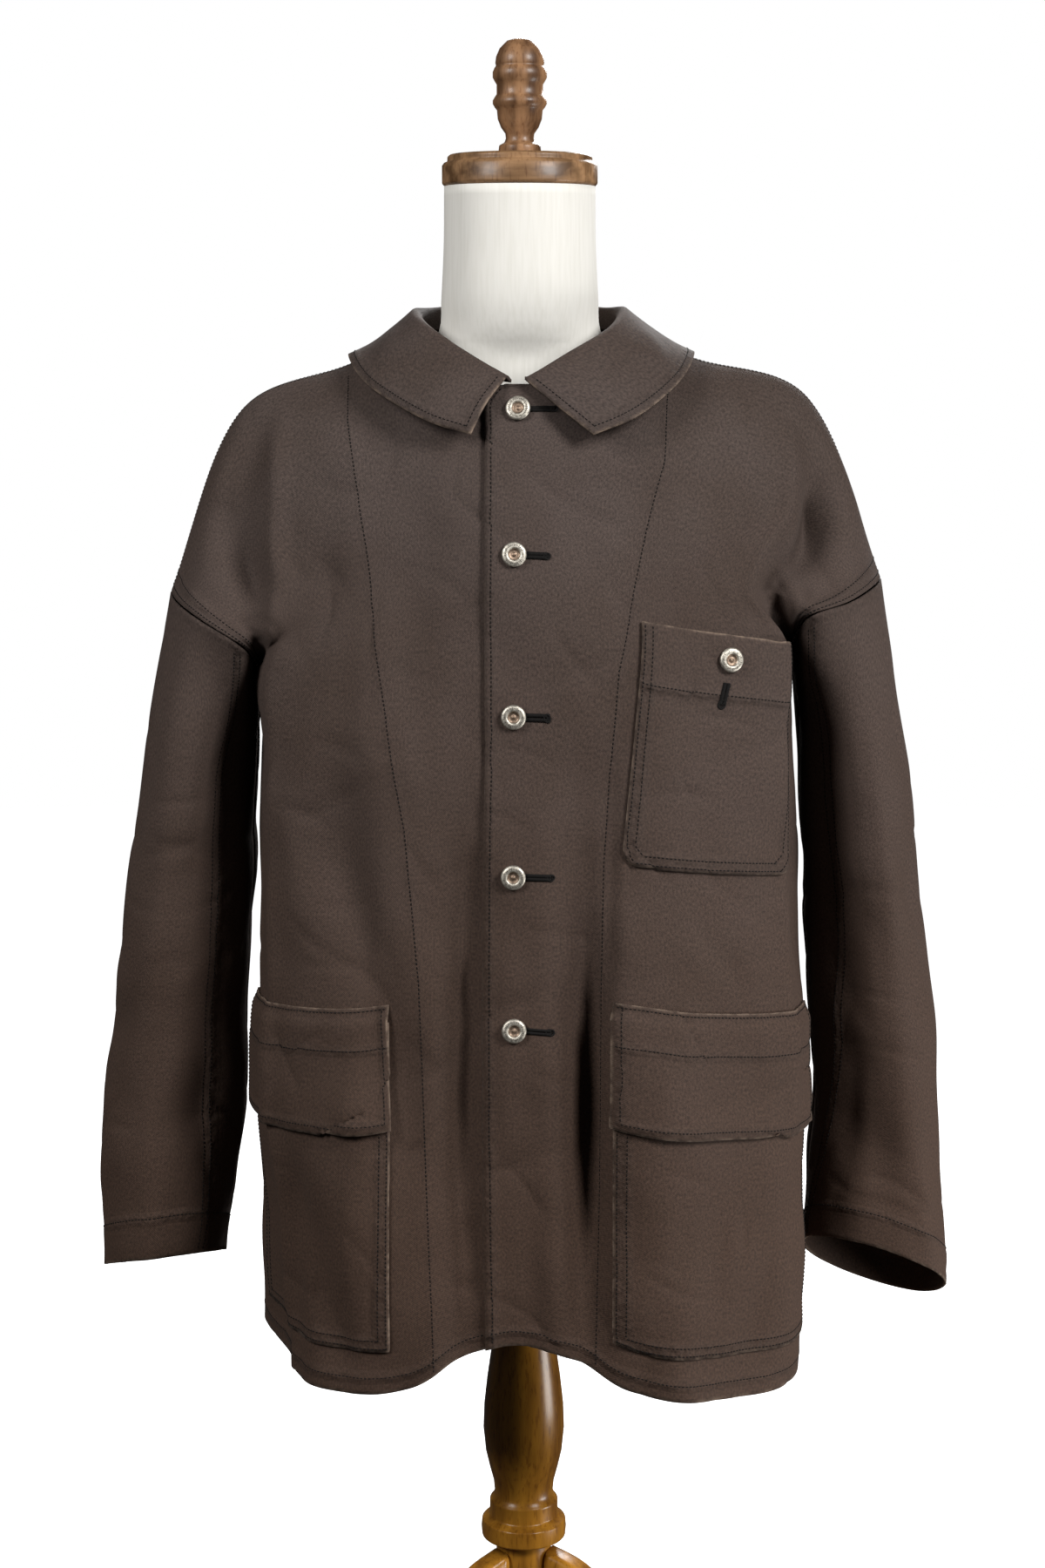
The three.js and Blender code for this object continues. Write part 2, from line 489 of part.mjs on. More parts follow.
function frontGrid(side) {
  const stops = [-LAP, ...BODY_G[side]];
  const place = (i, j) => {
    const v = i === 0 ? SEAM_GAP / 2 : BODY_V[i];
    const g = j === 0 ? -edgeReach(v) : stops[j];
    return bodyPoint('front', side, g, v);
  };
  const panel = grid(BODY_V.length, stops.length, place, fromAxis);
  panel.stops = stops;
  return panel;
}

const under = frontGrid('left');
const over = frontGrid('right');
over.points.forEach((row, i) => row.forEach((point, j) => {
  const lift = LAP_LIFT * (1 - smooth(LAP_BLEND[0], LAP_BLEND[1], over.stops[j]));
  point.addScaledVector(over.normals[i][j], lift);
}));

// Back
const BACK_G = [...BODY_G.left.slice(1).reverse().map((g) => -g), ...BODY_G.right];
const back = grid(BODY_V.length, BACK_G.length, (i, j) => {
  const v = i === 0 ? SEAM_GAP / 2 : BODY_V[i];
  return bodyPoint('back', BACK_G[j] < 0 ? 'left' : 'right', Math.abs(BACK_G[j]), v);
}, fromAxis);

// Sleeves
const SLEEVE_TURNS = 2 * (ARMHOLE_V.length - 1);
const SLEEVE_ALONG = 15;
const ROUNDNESS = 2.25; // exponent of the sleeve's oval
function armhole(side, turn) {
  const face = turn < 0.5 ? 'front' : 'back';
  const step = Math.abs(turn - 0.5) * SLEEVE_TURNS;
  const i = Math.min(Math.floor(step), ARMHOLE_V.length - 2);
  const v = THREE.MathUtils.lerp(ARMHOLE_V[i], ARMHOLE_V[i + 1], step - i);
  const apart = (side === 'left' ? -1 : 1) * SEAM_GAP;
  return plainBody(face, side, COLUMNS.side, v).add(vec(apart, 0, 0));
}

function sleeveRing(side, row, turn) {
  const sign = side === 'left' ? -1 : 1;
  const angle = turn * 2 * Math.PI;
  const bend = (value) => Math.sign(value) * Math.abs(value) ** (2 / ROUNDNESS);
  const x = (row.inner + row.outer) / 2 - bend(Math.cos(angle)) * (row.outer - row.inner) / 2;
  const y = (row.front + row.back) / 2 - bend(Math.sin(angle)) * (row.back - row.front) / 2;
  const fromMiddle = sign * (x - (row.inner + row.outer) / 2);
  return vec(sign * x, y, row.z + row.lean * y + row.tip * fromMiddle);
}

function plainSleeve(side, turn, along) {
  const rows = SLEEVE_ROWS[side];
  const wrapped = ((turn % 1) + 1) % 1;
  const points = [armhole(side, wrapped), ...rows.map((row) => sleeveRing(side, row, wrapped))];
  return through([0, ...rows.map((row) => row.along)], points, along);
}

const SLEEVE_FOLD_START = [10, 60]; // folds grow over this stretch from the armhole
const SLEEVE_MIDDLE = 270; // a sleeve's middle line is about this far out
const SLEEVE_GIRTH = 400; // a fold's place round the sleeve is taken as a share of this
function sleevePoint(side, turn, along) {
  const sign = side === 'left' ? 1 : -1;
  const surface = (a, b) => plainSleeve(side, a / SLEEVE_GIRTH, b);
  const outward = normalOf(surface, turn * SLEEVE_GIRTH, along).multiplyScalar(sign);
  const rise = SLEEVE_FOLDS[side].reduce((sum, fold) => sum + foldRise(turn * SLEEVE_GIRTH, along,
    fold.t0 * SLEEVE_GIRTH, fold.s0, fold.t1 * SLEEVE_GIRTH, fold.s1, fold), 0);
  return plainSleeve(side, turn, along).addScaledVector(outward, rise * smooth(...SLEEVE_FOLD_START, along));
}

function sleeveGrid(side) {
  const length = SLEEVE_ROWS[side].at(-1).along;
  const middle = (side === 'left' ? -1 : 1) * SLEEVE_MIDDLE;
  return grid(SLEEVE_ALONG + 1, SLEEVE_TURNS, (i, j) => {
    const along = i === 0 ? 3 * SEAM_GAP : length * i / SLEEVE_ALONG;
    return sleevePoint(side, j / SLEEVE_TURNS, along);
  }, (point) => vec(point.x - middle, point.y, 0), true);
}

const sleeves = { left: sleeveGrid('left'), right: sleeveGrid('right') };
shareSeamNormals([under, over, back, sleeves.left, sleeves.right]);

add(jacket, 'front_left', wall(over, CLOTH), cloth);
add(jacket, 'front_right', wall(under, CLOTH), cloth);
add(jacket, 'back', wall(back, CLOTH), cloth);
add(jacket, 'sleeve_left', wall(sleeves.right, CLOTH), cloth);
add(jacket, 'sleeve_right', wall(sleeves.left, CLOTH), cloth);

// Collar
const COLLAR_STATIONS = 34;
const ROLL_STEPS = 4;
const LEAF_STEPS = 4;
const STAND_FOOT_SHARE = 0.2; // the stand's foot is set in by this share of the fold's radius
const ROLL_SHARE = 0.3; // the fold's radius is at most this share of the stand's height
function collarSection(t) {
  const knots = COLLAR_ROWS.map((row, i) => i);
  const line = (key) => through(knots, COLLAR_ROWS.map((row) => vec(...row[key])), t);
  const seams = COLLAR_ROWS.map((row) => plainBody(row.face, row.side, row.g, 0).add(vec(0, 0, row.clear)));
  const seam = through(knots, seams, t);
  const [roll, edge] = [line('roll'), line('edge')];
  const stand = seam.clone().sub(roll);
  const bulge = through(knots, COLLAR_ROWS.map((row) => vec(row.bulge, 0, 0)), t).x;
  const radius = Math.min(COLLAR_ROLL, stand.length() * ROLL_SHARE);
  stand.normalize();
  const leaf = edge.clone().sub(roll).normalize();
  const away = stand.clone().add(leaf).negate().normalize();
  const square = (line3) => away.clone().addScaledVector(line3, -away.dot(line3)).normalize();
  const [inner, outer] = [square(stand), square(leaf)];
  const centre = roll.clone().addScaledVector(away, -radius);
  const path = [seam.clone().addScaledVector(inner, radius * STAND_FOOT_SHARE)];
  for (let k = 0; k <= ROLL_STEPS; k += 1) {
    const way = inner.clone().lerp(outer, k / ROLL_STEPS).normalize();
    path.push(centre.clone().addScaledVector(way, radius));
  }
  const start = path.at(-1);
  for (let k = 1; k <= LEAF_STEPS; k += 1) {
    const share = k / LEAF_STEPS;
    path.push(start.clone().lerp(edge, share)
      .addScaledVector(outer, bulge * Math.sin(share * Math.PI)));
  }
  return path;
}

const collarSections = [];
for (let i = 0; i <= COLLAR_STATIONS; i += 1) {
  collarSections.push(collarSection((COLLAR_ROWS.length - 1) * i / COLLAR_STATIONS));
}
const collar = grid(collarSections.length, collarSections[0].length, (i, j) => collarSections[i][j],
  () => vec(0, 0, 1));
add(jacket, 'collar', wall(collar, COLLAR_CLOTH), cloth);

// Lower pockets and flaps, made from the points of the fronts
const POCKET_LIFT = LAY_GAP + POCKET_CLOTH;
const FLAP_LIFT = POCKET_LIFT + LAY_GAP + FLAP_CLOTH;
const FLAP_TOP_LIFT = LAY_GAP + FLAP_CLOTH + 0.8; // the flap's sewn top edge lies nearly on the front
const rowAt = (v) => BODY_V.findIndex((value) => Math.abs(value - v) < 0.01);
[['left', over, 'right'], ['right', under, 'left']].forEach(([wearer, panel, side]) => {
  const columns = POCKET_G[side].map((g) => panel.stops.findIndex((value) => Math.abs(value - g) < 0.01));
  const body = patch(panel, [rowAt(POCKET_TOP_V), rowAt(POCKET_BOTTOM_V)], columns, () => POCKET_LIFT);
  add(jacket, `pocket_${wearer}`, wall(body, POCKET_CLOTH), cloth);
  const flap = patch(panel, [rowAt(FLAP_TOP_V), rowAt(FLAP_BOTTOM_V)], columns,
    (i) => (i === 0 ? FLAP_TOP_LIFT : FLAP_LIFT));
  add(jacket, `flap_${wearer}`, wall(flap, FLAP_CLOTH), cloth);
});

// Chest pocket, turned a little on the front, so it has points of its own
const CHEST_LIFT = LAY_GAP + 0.6;
function chestPlace(across, down) {
  const { top, bottom } = CHEST_POCKET;
  const mix = (a, b, share) => THREE.MathUtils.lerp(a, b, share);
  const g = mix(mix(top[0].g, top[1].g, across), mix(bottom[0].g, bottom[1].g, across), down);
  const z = mix(mix(top[0].z, top[1].z, across), mix(bottom[0].z, bottom[1].z, across), down);
  return [g, levelAt('front', 'right', g, z)];
}

const CHEST_WIDTH = CHEST_POCKET.top[1].g - CHEST_POCKET.top[0].g;
const CHEST_HEIGHT = CHEST_POCKET.top[0].z - CHEST_POCKET.bottom[0].z;
const chest = grid(CHEST_POCKET.rows + 1, CHEST_POCKET.columns + 1, (i, j) => {
  const across = j / CHEST_POCKET.columns;
  const toSide = Math.min(across, 1 - across) * CHEST_WIDTH;
  const inCorner = Math.max(0, 1 - toSide / CHEST_POCKET.corner);
  const lift = CHEST_POCKET.corner * (1 - Math.sqrt(1 - inCorner ** 2)) / CHEST_HEIGHT;
  return bodyPoint('front', 'right', ...chestPlace(across, (i / CHEST_POCKET.rows) * (1 - lift)));
}, fromAxis);
add(jacket, 'chest_pocket', wall(chest, POCKET_CLOTH, CHEST_LIFT + POCKET_CLOTH), cloth);

// Buttons: a cast ring with a dished middle
function buttonGeometry() {
  const profile = [[0, 0], [7.6, 0], [BUTTON_RADIUS, 1.2], [BUTTON_RADIUS, 2.4], [7.6, BUTTON_HEIGHT],
    [5.4, 4], [3.6, 2.6], [0, 2.2]];
  const geometry = new THREE.LatheGeometry(profile.map(([r, h]) => new THREE.Vector2(r, h)), 14);
  return geometry.rotateX(Math.PI / 2);
}

function placeButton(name, face, side, g, z, lift) {
  const v = levelAt(face, side, g, z);
  const normal = normalOf((a, b) => bodyPoint(face, side, a, b), Math.max(g, STEP), v);
  if (normal.y > 0) normal.negate();
  const button = add(jacket, name, buttonGeometry(), metal);
  button.position.copy(bodyPoint(face, side, g, v)).addScaledVector(normal, lift);
  button.quaternion.setFromUnitVectors(vec(0, 0, 1), normal);
}

BUTTON_Z.forEach((z, i) => placeButton(`button_${i + 1}`, 'front', 'right', BUTTON_G, z, LAP_LIFT + LAY_GAP));
placeButton('pocket_button', 'front', 'right', POCKET_BUTTON.g, POCKET_BUTTON.z,
  CHEST_LIFT + POCKET_CLOTH + BUTTON_SHANK);

// Dress form
const FORM_SIDES = 28;
const FORM_ROUNDNESS = 2.3;
function loft(rings) {
  const count = rings[0].length;
  const vertices = rings.flat();
  const triangles = [];
  for (let i = 0; i < rings.length - 1; i += 1) {
    for (let j = 0; j < count; j += 1) {
      const [a, b] = [i * count + j, i * count + ((j + 1) % count)];
      triangles.push([a, b, b + count], [a, b + count, a + count]);
    }
  }
  [0, rings.length - 1].forEach((ring) => {
    const centre = rings[ring].reduce((sum, point) => sum.add(point), vec(0, 0, 0)).divideScalar(count);
    vertices.push(centre);
    for (let j = 0; j < count; j += 1) {
      const [a, b] = [ring * count + j, ring * count + ((j + 1) % count)];
      triangles.push(ring === 0 ? [b, a, vertices.length - 1] : [a, b, vertices.length - 1]);
    }
  });
  return solid(vertices, triangles);
}

const formRings = FORM_RINGS.map((ring) => {
  const points = [];
  for (let j = 0; j < FORM_SIDES; j += 1) {
    const angle = (j / FORM_SIDES) * 2 * Math.PI;
    const bend = (value) => Math.sign(value) * Math.abs(value) ** (2 / FORM_ROUNDNESS);
    points.push(vec(FORM_X + ring.half * bend(Math.cos(angle)), ring.y + ring.depth * bend(Math.sin(angle)),
      ring.z));
  }
  return points;
});
add(stand, 'torso_form', loft(formRings), linen);

// Turned wood
function turned(name, profile, x) {
  const points = profile.map(([radius, z]) => new THREE.Vector2(radius, z));
  const geometry = new THREE.LatheGeometry(points, TURNED_SIDES).rotateX(Math.PI / 2);
  add(stand, name, geometry, wood).position.set(x, 0, 0);
}
turned('neck_cap', CAP_PROFILE, FORM_X);
turned('finial', FINIAL_PROFILE, FORM_X);
turned('pole', POLE_PROFILE, POLE_X);
turned('hub', HUB_PROFILE, POLE_X);

// Legs: sections square to a bent centre line, with their edges chamfered and a flat foot
function legSection(row) {
  const [tall, wide] = [row.tall / 2, row.wide / 2];
  const cut = 1 - LEG_CHAMFER * 2;
  const corners = [[1, cut], [cut, 1], [-cut, 1], [-1, cut], [-1, -cut], [-cut, -1], [cut, -1], [1, -cut]];
  const pitch = THREE.MathUtils.degToRad(row.pitch);
  return corners.map(([up, aside]) => vec(row.out + Math.sin(pitch) * up * tall, aside * wide,
    row.z + Math.cos(pitch) * up * tall));
}

LEG_TURNS.forEach((degrees, i) => {
  const leg = add(stand, `leg_${i + 1}`, loft(LEG_ROWS.map(legSection)), wood);
  leg.position.set(POLE_X, 0, -NECK_BASE_Z);
  leg.rotation.z = THREE.MathUtils.degToRad(degrees - 90);
});

export default part;
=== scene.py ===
import bpy
import bmesh
import math
import numpy as np
from mathutils import Matrix, Vector
from mathutils.bvhtree import BVHTree


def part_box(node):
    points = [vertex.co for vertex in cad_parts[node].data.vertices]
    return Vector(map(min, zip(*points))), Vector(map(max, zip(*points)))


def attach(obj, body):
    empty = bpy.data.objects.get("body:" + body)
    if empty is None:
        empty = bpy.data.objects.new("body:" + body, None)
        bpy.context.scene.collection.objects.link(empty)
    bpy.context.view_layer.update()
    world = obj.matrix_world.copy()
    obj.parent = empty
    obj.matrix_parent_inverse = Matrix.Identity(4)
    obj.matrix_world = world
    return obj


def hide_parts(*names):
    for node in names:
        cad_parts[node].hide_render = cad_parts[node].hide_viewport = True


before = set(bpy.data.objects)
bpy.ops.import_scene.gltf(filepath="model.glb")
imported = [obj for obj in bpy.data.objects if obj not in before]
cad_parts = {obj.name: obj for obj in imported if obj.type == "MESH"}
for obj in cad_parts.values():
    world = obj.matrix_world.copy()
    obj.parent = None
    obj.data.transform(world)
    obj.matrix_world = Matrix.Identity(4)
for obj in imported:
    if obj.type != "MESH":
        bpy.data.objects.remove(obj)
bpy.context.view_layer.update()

# Camera: at the height of the base of the neck, a little over two metres in front, tipped down.
# The photograph's frame is 1200 x 1800, and its long side is the 36 mm sensor side.
MM = 0.001
NECK_LENGTH = 112.7
CAMERA_AWAY = 2.108
CAMERA_TIP = math.radians(9.1)
SENSOR = 36
PHOTO_FOCUS = 3180 / 1800
pole_low, pole_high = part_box("pole")
form_low, form_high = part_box("torso_form")
STAND_Y = (pole_low[1] + pole_high[1]) / 2
NECK_Z = form_high[2] - NECK_LENGTH * MM
camera_data = bpy.data.cameras.new("camera")
camera_data.sensor_width = SENSOR
camera_data.lens = SENSOR * PHOTO_FOCUS
camera = bpy.data.objects.new("camera", camera_data)
camera.location = (0, STAND_Y - CAMERA_AWAY, NECK_Z)
camera.rotation_euler = (math.pi / 2 - CAMERA_TIP, 0, 0)
bpy.context.collection.objects.link(camera)
bpy.context.scene.camera = camera
bpy.context.scene.view_settings.view_transform = "Standard"

# Fronts: two panels of brushed cotton twill, cut with a dropped shoulder. Each reaches past the
# button line, the wearer's left one on top, and each has a facing sewn down by one row.
CLOTH = 2.0
LAY_GAP = 0.5
LAP = 21
LAP_LIFT = CLOTH + LAY_GAP + 0.7
LAP_BLEND = (26, 62)
TOP_CURVE = 34
UNDERARM_V = 225
SHOULDER_BLEND = 40
HEM_V = 760
SIDE_G = 300
SEAM_GAP = 0.4
COLUMNS = {"centre": 0, "throat": 45, "neck": 80, "middle": 130, "corner": 205, "side": 300}
DROP_SHARE = {"centre": 0, "throat": 0, "neck": 0.1, "middle": 0.45, "corner": 1, "side": 1}
SHOULDER = {"neck": (80, 0, 2), "middle": (130, 0, -18), "corner": (213, 0, -53), "side": (268, 0, -187)}


def body_row(v, mid, left, right, drop, *points):
    """One row of the body: centre line's x, widths of both sides, the right side's drop, and its points."""
    return {"v": v, "mid": mid, "left": left, "right": right, "drop": drop, **dict(zip(COLUMNS, points))}


BODY_ROWS = {
    "front": [
        body_row(0, -3, 0.985, 1.025, -10, (4, -92, -32), (50, -73, -22), *SHOULDER.values()),
        body_row(60, -8, 0.965, 1.045, -12, (0, -106, -68), (42, -101, -68), (76, -82, -56),
                 (124, -66, -58), (208, -50, -94), (259, -46, -192)),
        body_row(120, -8, 0.965, 1.05, -14, (0, -119, -116), (42, -116, -117), (74, -107, -115),
                 (117, -96, -120), (190, -74, -142), (237, -77, -203)),
        body_row(180, -8, 0.96, 1.055, -22, (0, -128, -170), (42, -126, -172), (74, -121, -175),
                 (112, -112, -182), (165, -97, -200), (205, -81, -223)),
        body_row(225, -8, 0.96, 1.06, -18, (0, -133, -215), (43, -132, -217), (76, -128, -220),
                 (118, -118, -226), (184, -87, -235), (201, 4, -246)),
        body_row(290, -8, 0.955, 1.065, -10, (0, -139, -290), (43, -138, -292), (77, -135, -294),
                 (121, -126, -298), (185, -86, -303), (201, 5, -307)),
        body_row(380, -8, 0.95, 1.075, 0, (0, -145, -378), (44, -145, -380), (78, -143, -383),
                 (124, -134, -388), (187, -88, -393), (203, 4, -396)),
        body_row(475, -8, 0.945, 1.085, 7, (0, -152, -468), (44, -154, -471), (79, -154, -474),
                 (126, -146, -480), (190, -95, -486), (206, 3, -488)),
        body_row(760, -8, 0.945, 1.085, 14, (0, -158, -731), (44, -162, -742), (79, -166, -761),
                 (127, -162, -767), (193, -106, -767), (208, 2, -763)),
    ],
    "back": [
        body_row(0, -3, 0.985, 1.025, -10, (0, 71, 7), (45, 56, 8), *SHOULDER.values()),
        body_row(60, 3, 1.015, 1, -12, (0, 99, -38), (42, 95, -38), (78, 78, -42),
                 (124, 68, -54), (208, 54, -92), (259, 50, -194)),
        body_row(120, 3, 1.015, 1, -14, (0, 119, -100), (43, 118, -101), (78, 113, -104),
                 (123, 104, -114), (192, 84, -140), (239, 84, -207)),
        body_row(180, 3, 1.015, 1, -22, (0, 127, -160), (44, 127, -161), (79, 124, -165),
                 (122, 117, -174), (175, 103, -195), (206, 86, -227)),
        body_row(225, 3, 1.015, 1.005, -18, (0, 129, -210), (44, 129, -211), (80, 125, -214),
                 (124, 116, -221), (181, 90, -233), (201, 4, -246)),
        body_row(290, 3, 1.01, 1.01, -10, (0, 125, -288), (44, 125, -289), (80, 121, -292),
                 (125, 112, -297), (182, 86, -303), (201, 5, -307)),
        body_row(380, 3, 1.004, 1.02, 0, (0, 120, -380), (44, 120, -380), (80, 117, -384),
                 (126, 108, -389), (184, 83, -394), (203, 4, -396)),
        body_row(475, 3, 0.998, 1.032, 7, (0, 129, -476), (44, 130, -477), (81, 127, -480),
                 (128, 118, -484), (187, 87, -487), (206, 3, -488)),
        body_row(760, 3, 0.998, 1.032, 14, (0, 138, -766), (44, 139, -767), (81, 137, -768),
                 (129, 126, -768), (190, 91, -767), (208, 2, -763)),
    ],
}
OTHER_FACE = {"front": "back", "back": "front"}
UNDERARM_ROW = 4

# A fold: from (g0, v0) to (g1, v1), its half width, its rise and the length over which it fades.
BODY_FOLDS = {
    ("front", "left"): [
        (34, 300, 40, 820, 24, -9, 300), (92, 600, 86, 800, 26, 8, 120), (176, 560, 182, 800, 14, -7, 60),
        (236, 40, 238, 170, 17, -7, 40), (66, 110, 96, 300, 26, -5, 70), (222, 520, 224, 960, 40, -20, 200),
        (150, 90, 190, 330, 15, -2.2, 90), (110, 190, 60, 380, 12, 1.8, 70), (205, 260, 160, 460, 16, 2.4, 70),
        (226, 300, 236, 480, 12, -2.4, 60), (130, 330, 120, 470, 16, -2, 60), (24, 150, 44, 330, 14, -1.6, 70),
        (60, 420, 66, 700, 10, 1.8, 90), (16, 560, 20, 800, 9, 2.2, 90), (150, 30, 120, 170, 16, 1.8, 60),
        (196, 60, 206, 200, 12, 2.4, 50), (34, 250, 38, 820, 12, -20, 400), (156, 270, 72, 620, 24, -10, 120),
        (108, 190, 92, 470, 26, 5, 110), (203, 200, 204, 620, 8, 3, 60),
        (176, 590, 128, 770, 15, -5, 60), (58, 640, 62, 820, 14, 5, 80),
    ],
    ("front", "right"): [
        (44, 250, 50, 800, 20, -14, 260), (84, 420, 84, 800, 30, 8, 140), (236, 40, 238, 170, 17, -7, 40),
        (150, 420, 158, 700, 30, -4, 80),
        (90, 70, 110, 200, 14, -2, 60), (180, 60, 150, 200, 16, 1.8, 60), (196, 70, 210, 200, 11, 2.2, 50),
        (212, 330, 190, 470, 13, 2.4, 60), (120, 400, 175, 470, 10, -2.2, 40),
        (232, 320, 238, 480, 11, -2.4, 60),
        (22, 300, 26, 620, 10, 1.8, 110), (14, 620, 20, 800, 9, -2, 90), (34, 130, 26, 300, 14, -1.4, 70),
        (52, 290, 51, 820, 11, -27, 340), (73, 260, 63, 520, 6, -6, 110), (30, 430, 32, 820, 13, 4.5, 140),
        (242, 20, 242, 240, 21, -15, 70), (203, 60, 204, 620, 8, 3, 90), (196, 590, 150, 790, 18, -5, 70),
        (110, 640, 120, 820, 18, 3.5, 80),
    ],
    ("back", "left"): [
        (58, 150, 70, 620, 30, -7, 150), (150, 330, 158, 800, 26, -8, 180),
        (20, 60, 40, 240, 18, -2, 70), (110, 60, 150, 220, 16, -2.4, 60), (110, 380, 96, 700, 14, 2.4, 110),
        (210, 240, 180, 420, 16, -3, 70), (226, 420, 236, 760, 14, 2.6, 110), (30, 420, 24, 720, 12, 2, 110),
        (246, 60, 240, 180, 16, -4, 50),
    ],
    ("back", "right"): [
        (76, 190, 62, 560, 28, -6, 140), (160, 300, 150, 800, 26, -8, 180),
        (30, 70, 16, 260, 18, -2, 70), (130, 50, 160, 200, 15, -2.2, 60), (104, 420, 112, 740, 14, 2.4, 110),
        (200, 230, 176, 400, 16, -3, 70), (232, 400, 226, 760, 13, 2.4, 110), (36, 500, 30, 760, 12, -2, 90),
        (246, 60, 240, 180, 16, -4, 50),
    ],
}


def through(knots, points, t, first=None, last=None):
    """A smooth curve through points (n, m, 3) at knots (n,), read at t (m,)."""
    knots = np.asarray(knots, float)
    first = 2 * points[0] - points[1] if first is None else first
    last = 2 * points[-1] - points[-2] if last is None else last
    p = np.concatenate([first[None], points, last[None]])
    k = np.concatenate([[2 * knots[0] - knots[1]], knots, [2 * knots[-1] - knots[-2]]])
    i = np.clip(np.searchsorted(knots, t) - 1, 0, len(knots) - 2)
    m = np.arange(len(t))
    p0, p1, p2, p3 = (p[i + step, m] for step in range(4))
    k0, k1, k2, k3 = (k[i + step] for step in range(4))
    span = k2 - k1
    x = ((t - k1) / span)[:, None]
    m1 = (p2 - p0) * (span / (k2 - k0))[:, None]
    m2 = (p3 - p1) * (span / (k3 - k1))[:, None]
    return ((2 * x ** 3 - 3 * x ** 2 + 1) * p1 + (x ** 3 - 2 * x ** 2 + x) * m1
            + (3 * x ** 2 - 2 * x ** 3) * p2 + (x ** 3 - x ** 2) * m2)


def smooth(low, high, x):
    """0 at low, 1 at high, with a soft start and end."""
    x = np.clip((x - low) / (high - low), 0, 1)
    return x * x * (3 - 2 * x)


def control_point(row, side, name):
    out, y, z = row[name]
    sign = -1 if side == "left" else 1
    lower = row["drop"] * DROP_SHARE[name] if side == "right" else 0
    return np.array([row["mid"] + sign * out * row[side], y, z - lower], float)


def body_column(face, side, name, v):
    rows = BODY_ROWS[face]
    other = BODY_ROWS[OTHER_FACE[face]]
    spread = lambda p: np.repeat(p[None], len(v), 0)
    points = np.stack([spread(control_point(row, side, name)) for row in rows])
    knots = [row["v"] for row in rows]
    first = spread(control_point(other[1], side, name)) if COLUMNS[name] >= COLUMNS["neck"] else None
    if name != "side":
        return through(knots, points, v, first)
    around = spread(control_point(other[UNDERARM_ROW - 1], side, name))
    upper = through(knots[:UNDERARM_ROW + 1], points[:UNDERARM_ROW + 1], v, first, around)
    lower = through(knots[UNDERARM_ROW:], points[UNDERARM_ROW:], v)
    return np.where((v < UNDERARM_V)[:, None], upper, lower)


def plain_body(face, side, g, v):
    """The body's surface without its folds, in mm: g out from the centre line, v down from the shoulder."""
    points = np.stack([body_column(face, side, name, v) for name in COLUMNS])
    first = points[1].copy()
    first[:, 0] = 2 * points[0][:, 0] - first[:, 0]
    around = body_column(OTHER_FACE[face], side, "corner", v)
    last = np.where((v >= UNDERARM_V)[:, None], around, 2 * points[-1] - points[-2])
    share = smooth(0, SHOULDER_BLEND, v)[:, None]
    straight = 2 * points[2] - points[3]
    bent = np.where((g > COLUMNS["neck"])[:, None], straight * (1 - share) + points[1] * share, points[1])
    points[1] = bent
    return through(list(COLUMNS.values()), points, g, first, last)


def normals_of(surface, a, b, step=1.0):
    across = surface(a + step, b) - surface(a - step, b)
    down = surface(a, b + step) - surface(a, b - step)
    n = np.cross(across, down)
    return n / np.linalg.norm(n, axis=1)[:, None]


def fold_rise(a, b, fold):
    a0, b0, a1, b1, spread, rise, fade = fold
    length = math.hypot(a1 - a0, b1 - b0)
    along = ((a - a0) * (a1 - a0) + (b - b0) * (b1 - b0)) / length
    off = ((a - a0) * (b1 - b0) - (b - b0) * (a1 - a0)) / length
    return rise * np.exp(-(off / spread) ** 2) * smooth(0, fade, along) * smooth(0, fade, length - along)


# Waves and creases of worn cloth as (across, down, phase, rise); the creases wander along their bends
RIPPLES = ((0.051, 0.013, 0.4, 0.6), (0.023, -0.037, 1.9, 0.7), (-0.044, 0.029, 3.1, 0.5),
           (0.083, 0.021, 5.2, 0.3), (0.017, 0.071, 0.9, 0.34), (-0.031, 0.093, 2.4, 0.2),
           (0.15, 0.034, 4.1, 0.13), (0.108, -0.066, 1.2, 0.16), (-0.127, 0.098, 0.2, 0.1))
RIPPLE_SHARE = 1.25
CREASES = ((0.030, 0.008, 0.3, 1.5), (-0.021, 0.026, 1.7, 1.3),
           (0.012, -0.034, 4.0, 1.0), (0.041, 0.019, 5.1, 0.8))
CREASE_BENDS = ((0.021, 0.013, 1, 1.3), (-0.017, 0.029, 2, 0.9))
CREASE_SHARPNESS = 5
CREASE_COMES = (-0.1, 0.9)
CREASE_PACE = 1.7


def crease_lines(a, b, shift):
    """Thin soft creases that wander, and come and go, in mm."""
    bend = sum(reach * np.sin(p * a + q * b + turns * shift) for p, q, turns, reach in CREASE_BENDS)
    depth = 0
    for p, q, phase, rise in CREASES:
        wave = np.abs(np.sin(a * p + b * q + phase + shift + bend))
        come = smooth(*CREASE_COMES, np.sin(CREASE_PACE * (a * q - b * p) + 2 * phase + shift))
        depth = depth - rise * (1 - wave) ** CREASE_SHARPNESS * come
    return depth


def ripple(a, b, shift):
    """Small uneven waves and creases of worn cloth, in mm."""
    waves = sum(rise * np.sin(a * p + b * q + phase + shift) for p, q, phase, rise in RIPPLES)
    return RIPPLE_SHARE * waves + crease_lines(a, b, shift)


# The front's outer crease, in mm from the centre line, with the hollow beyond it, down to the underarm
CREASE_X = {"left": 186, "right": 204}
CREASE_RISE, CREASE_WIDTH = 5, 9
HOLLOW_DEPTH, HOLLOW_AWAY, HOLLOW_WIDTH = 10, 20, 17
CREASE_STARTS, CREASE_ENDS = (15, 80), (245, 165)


def pull(distance, width):
    """1 on a line, fading to both sides of it."""
    return np.exp(-(distance / width) ** 2)


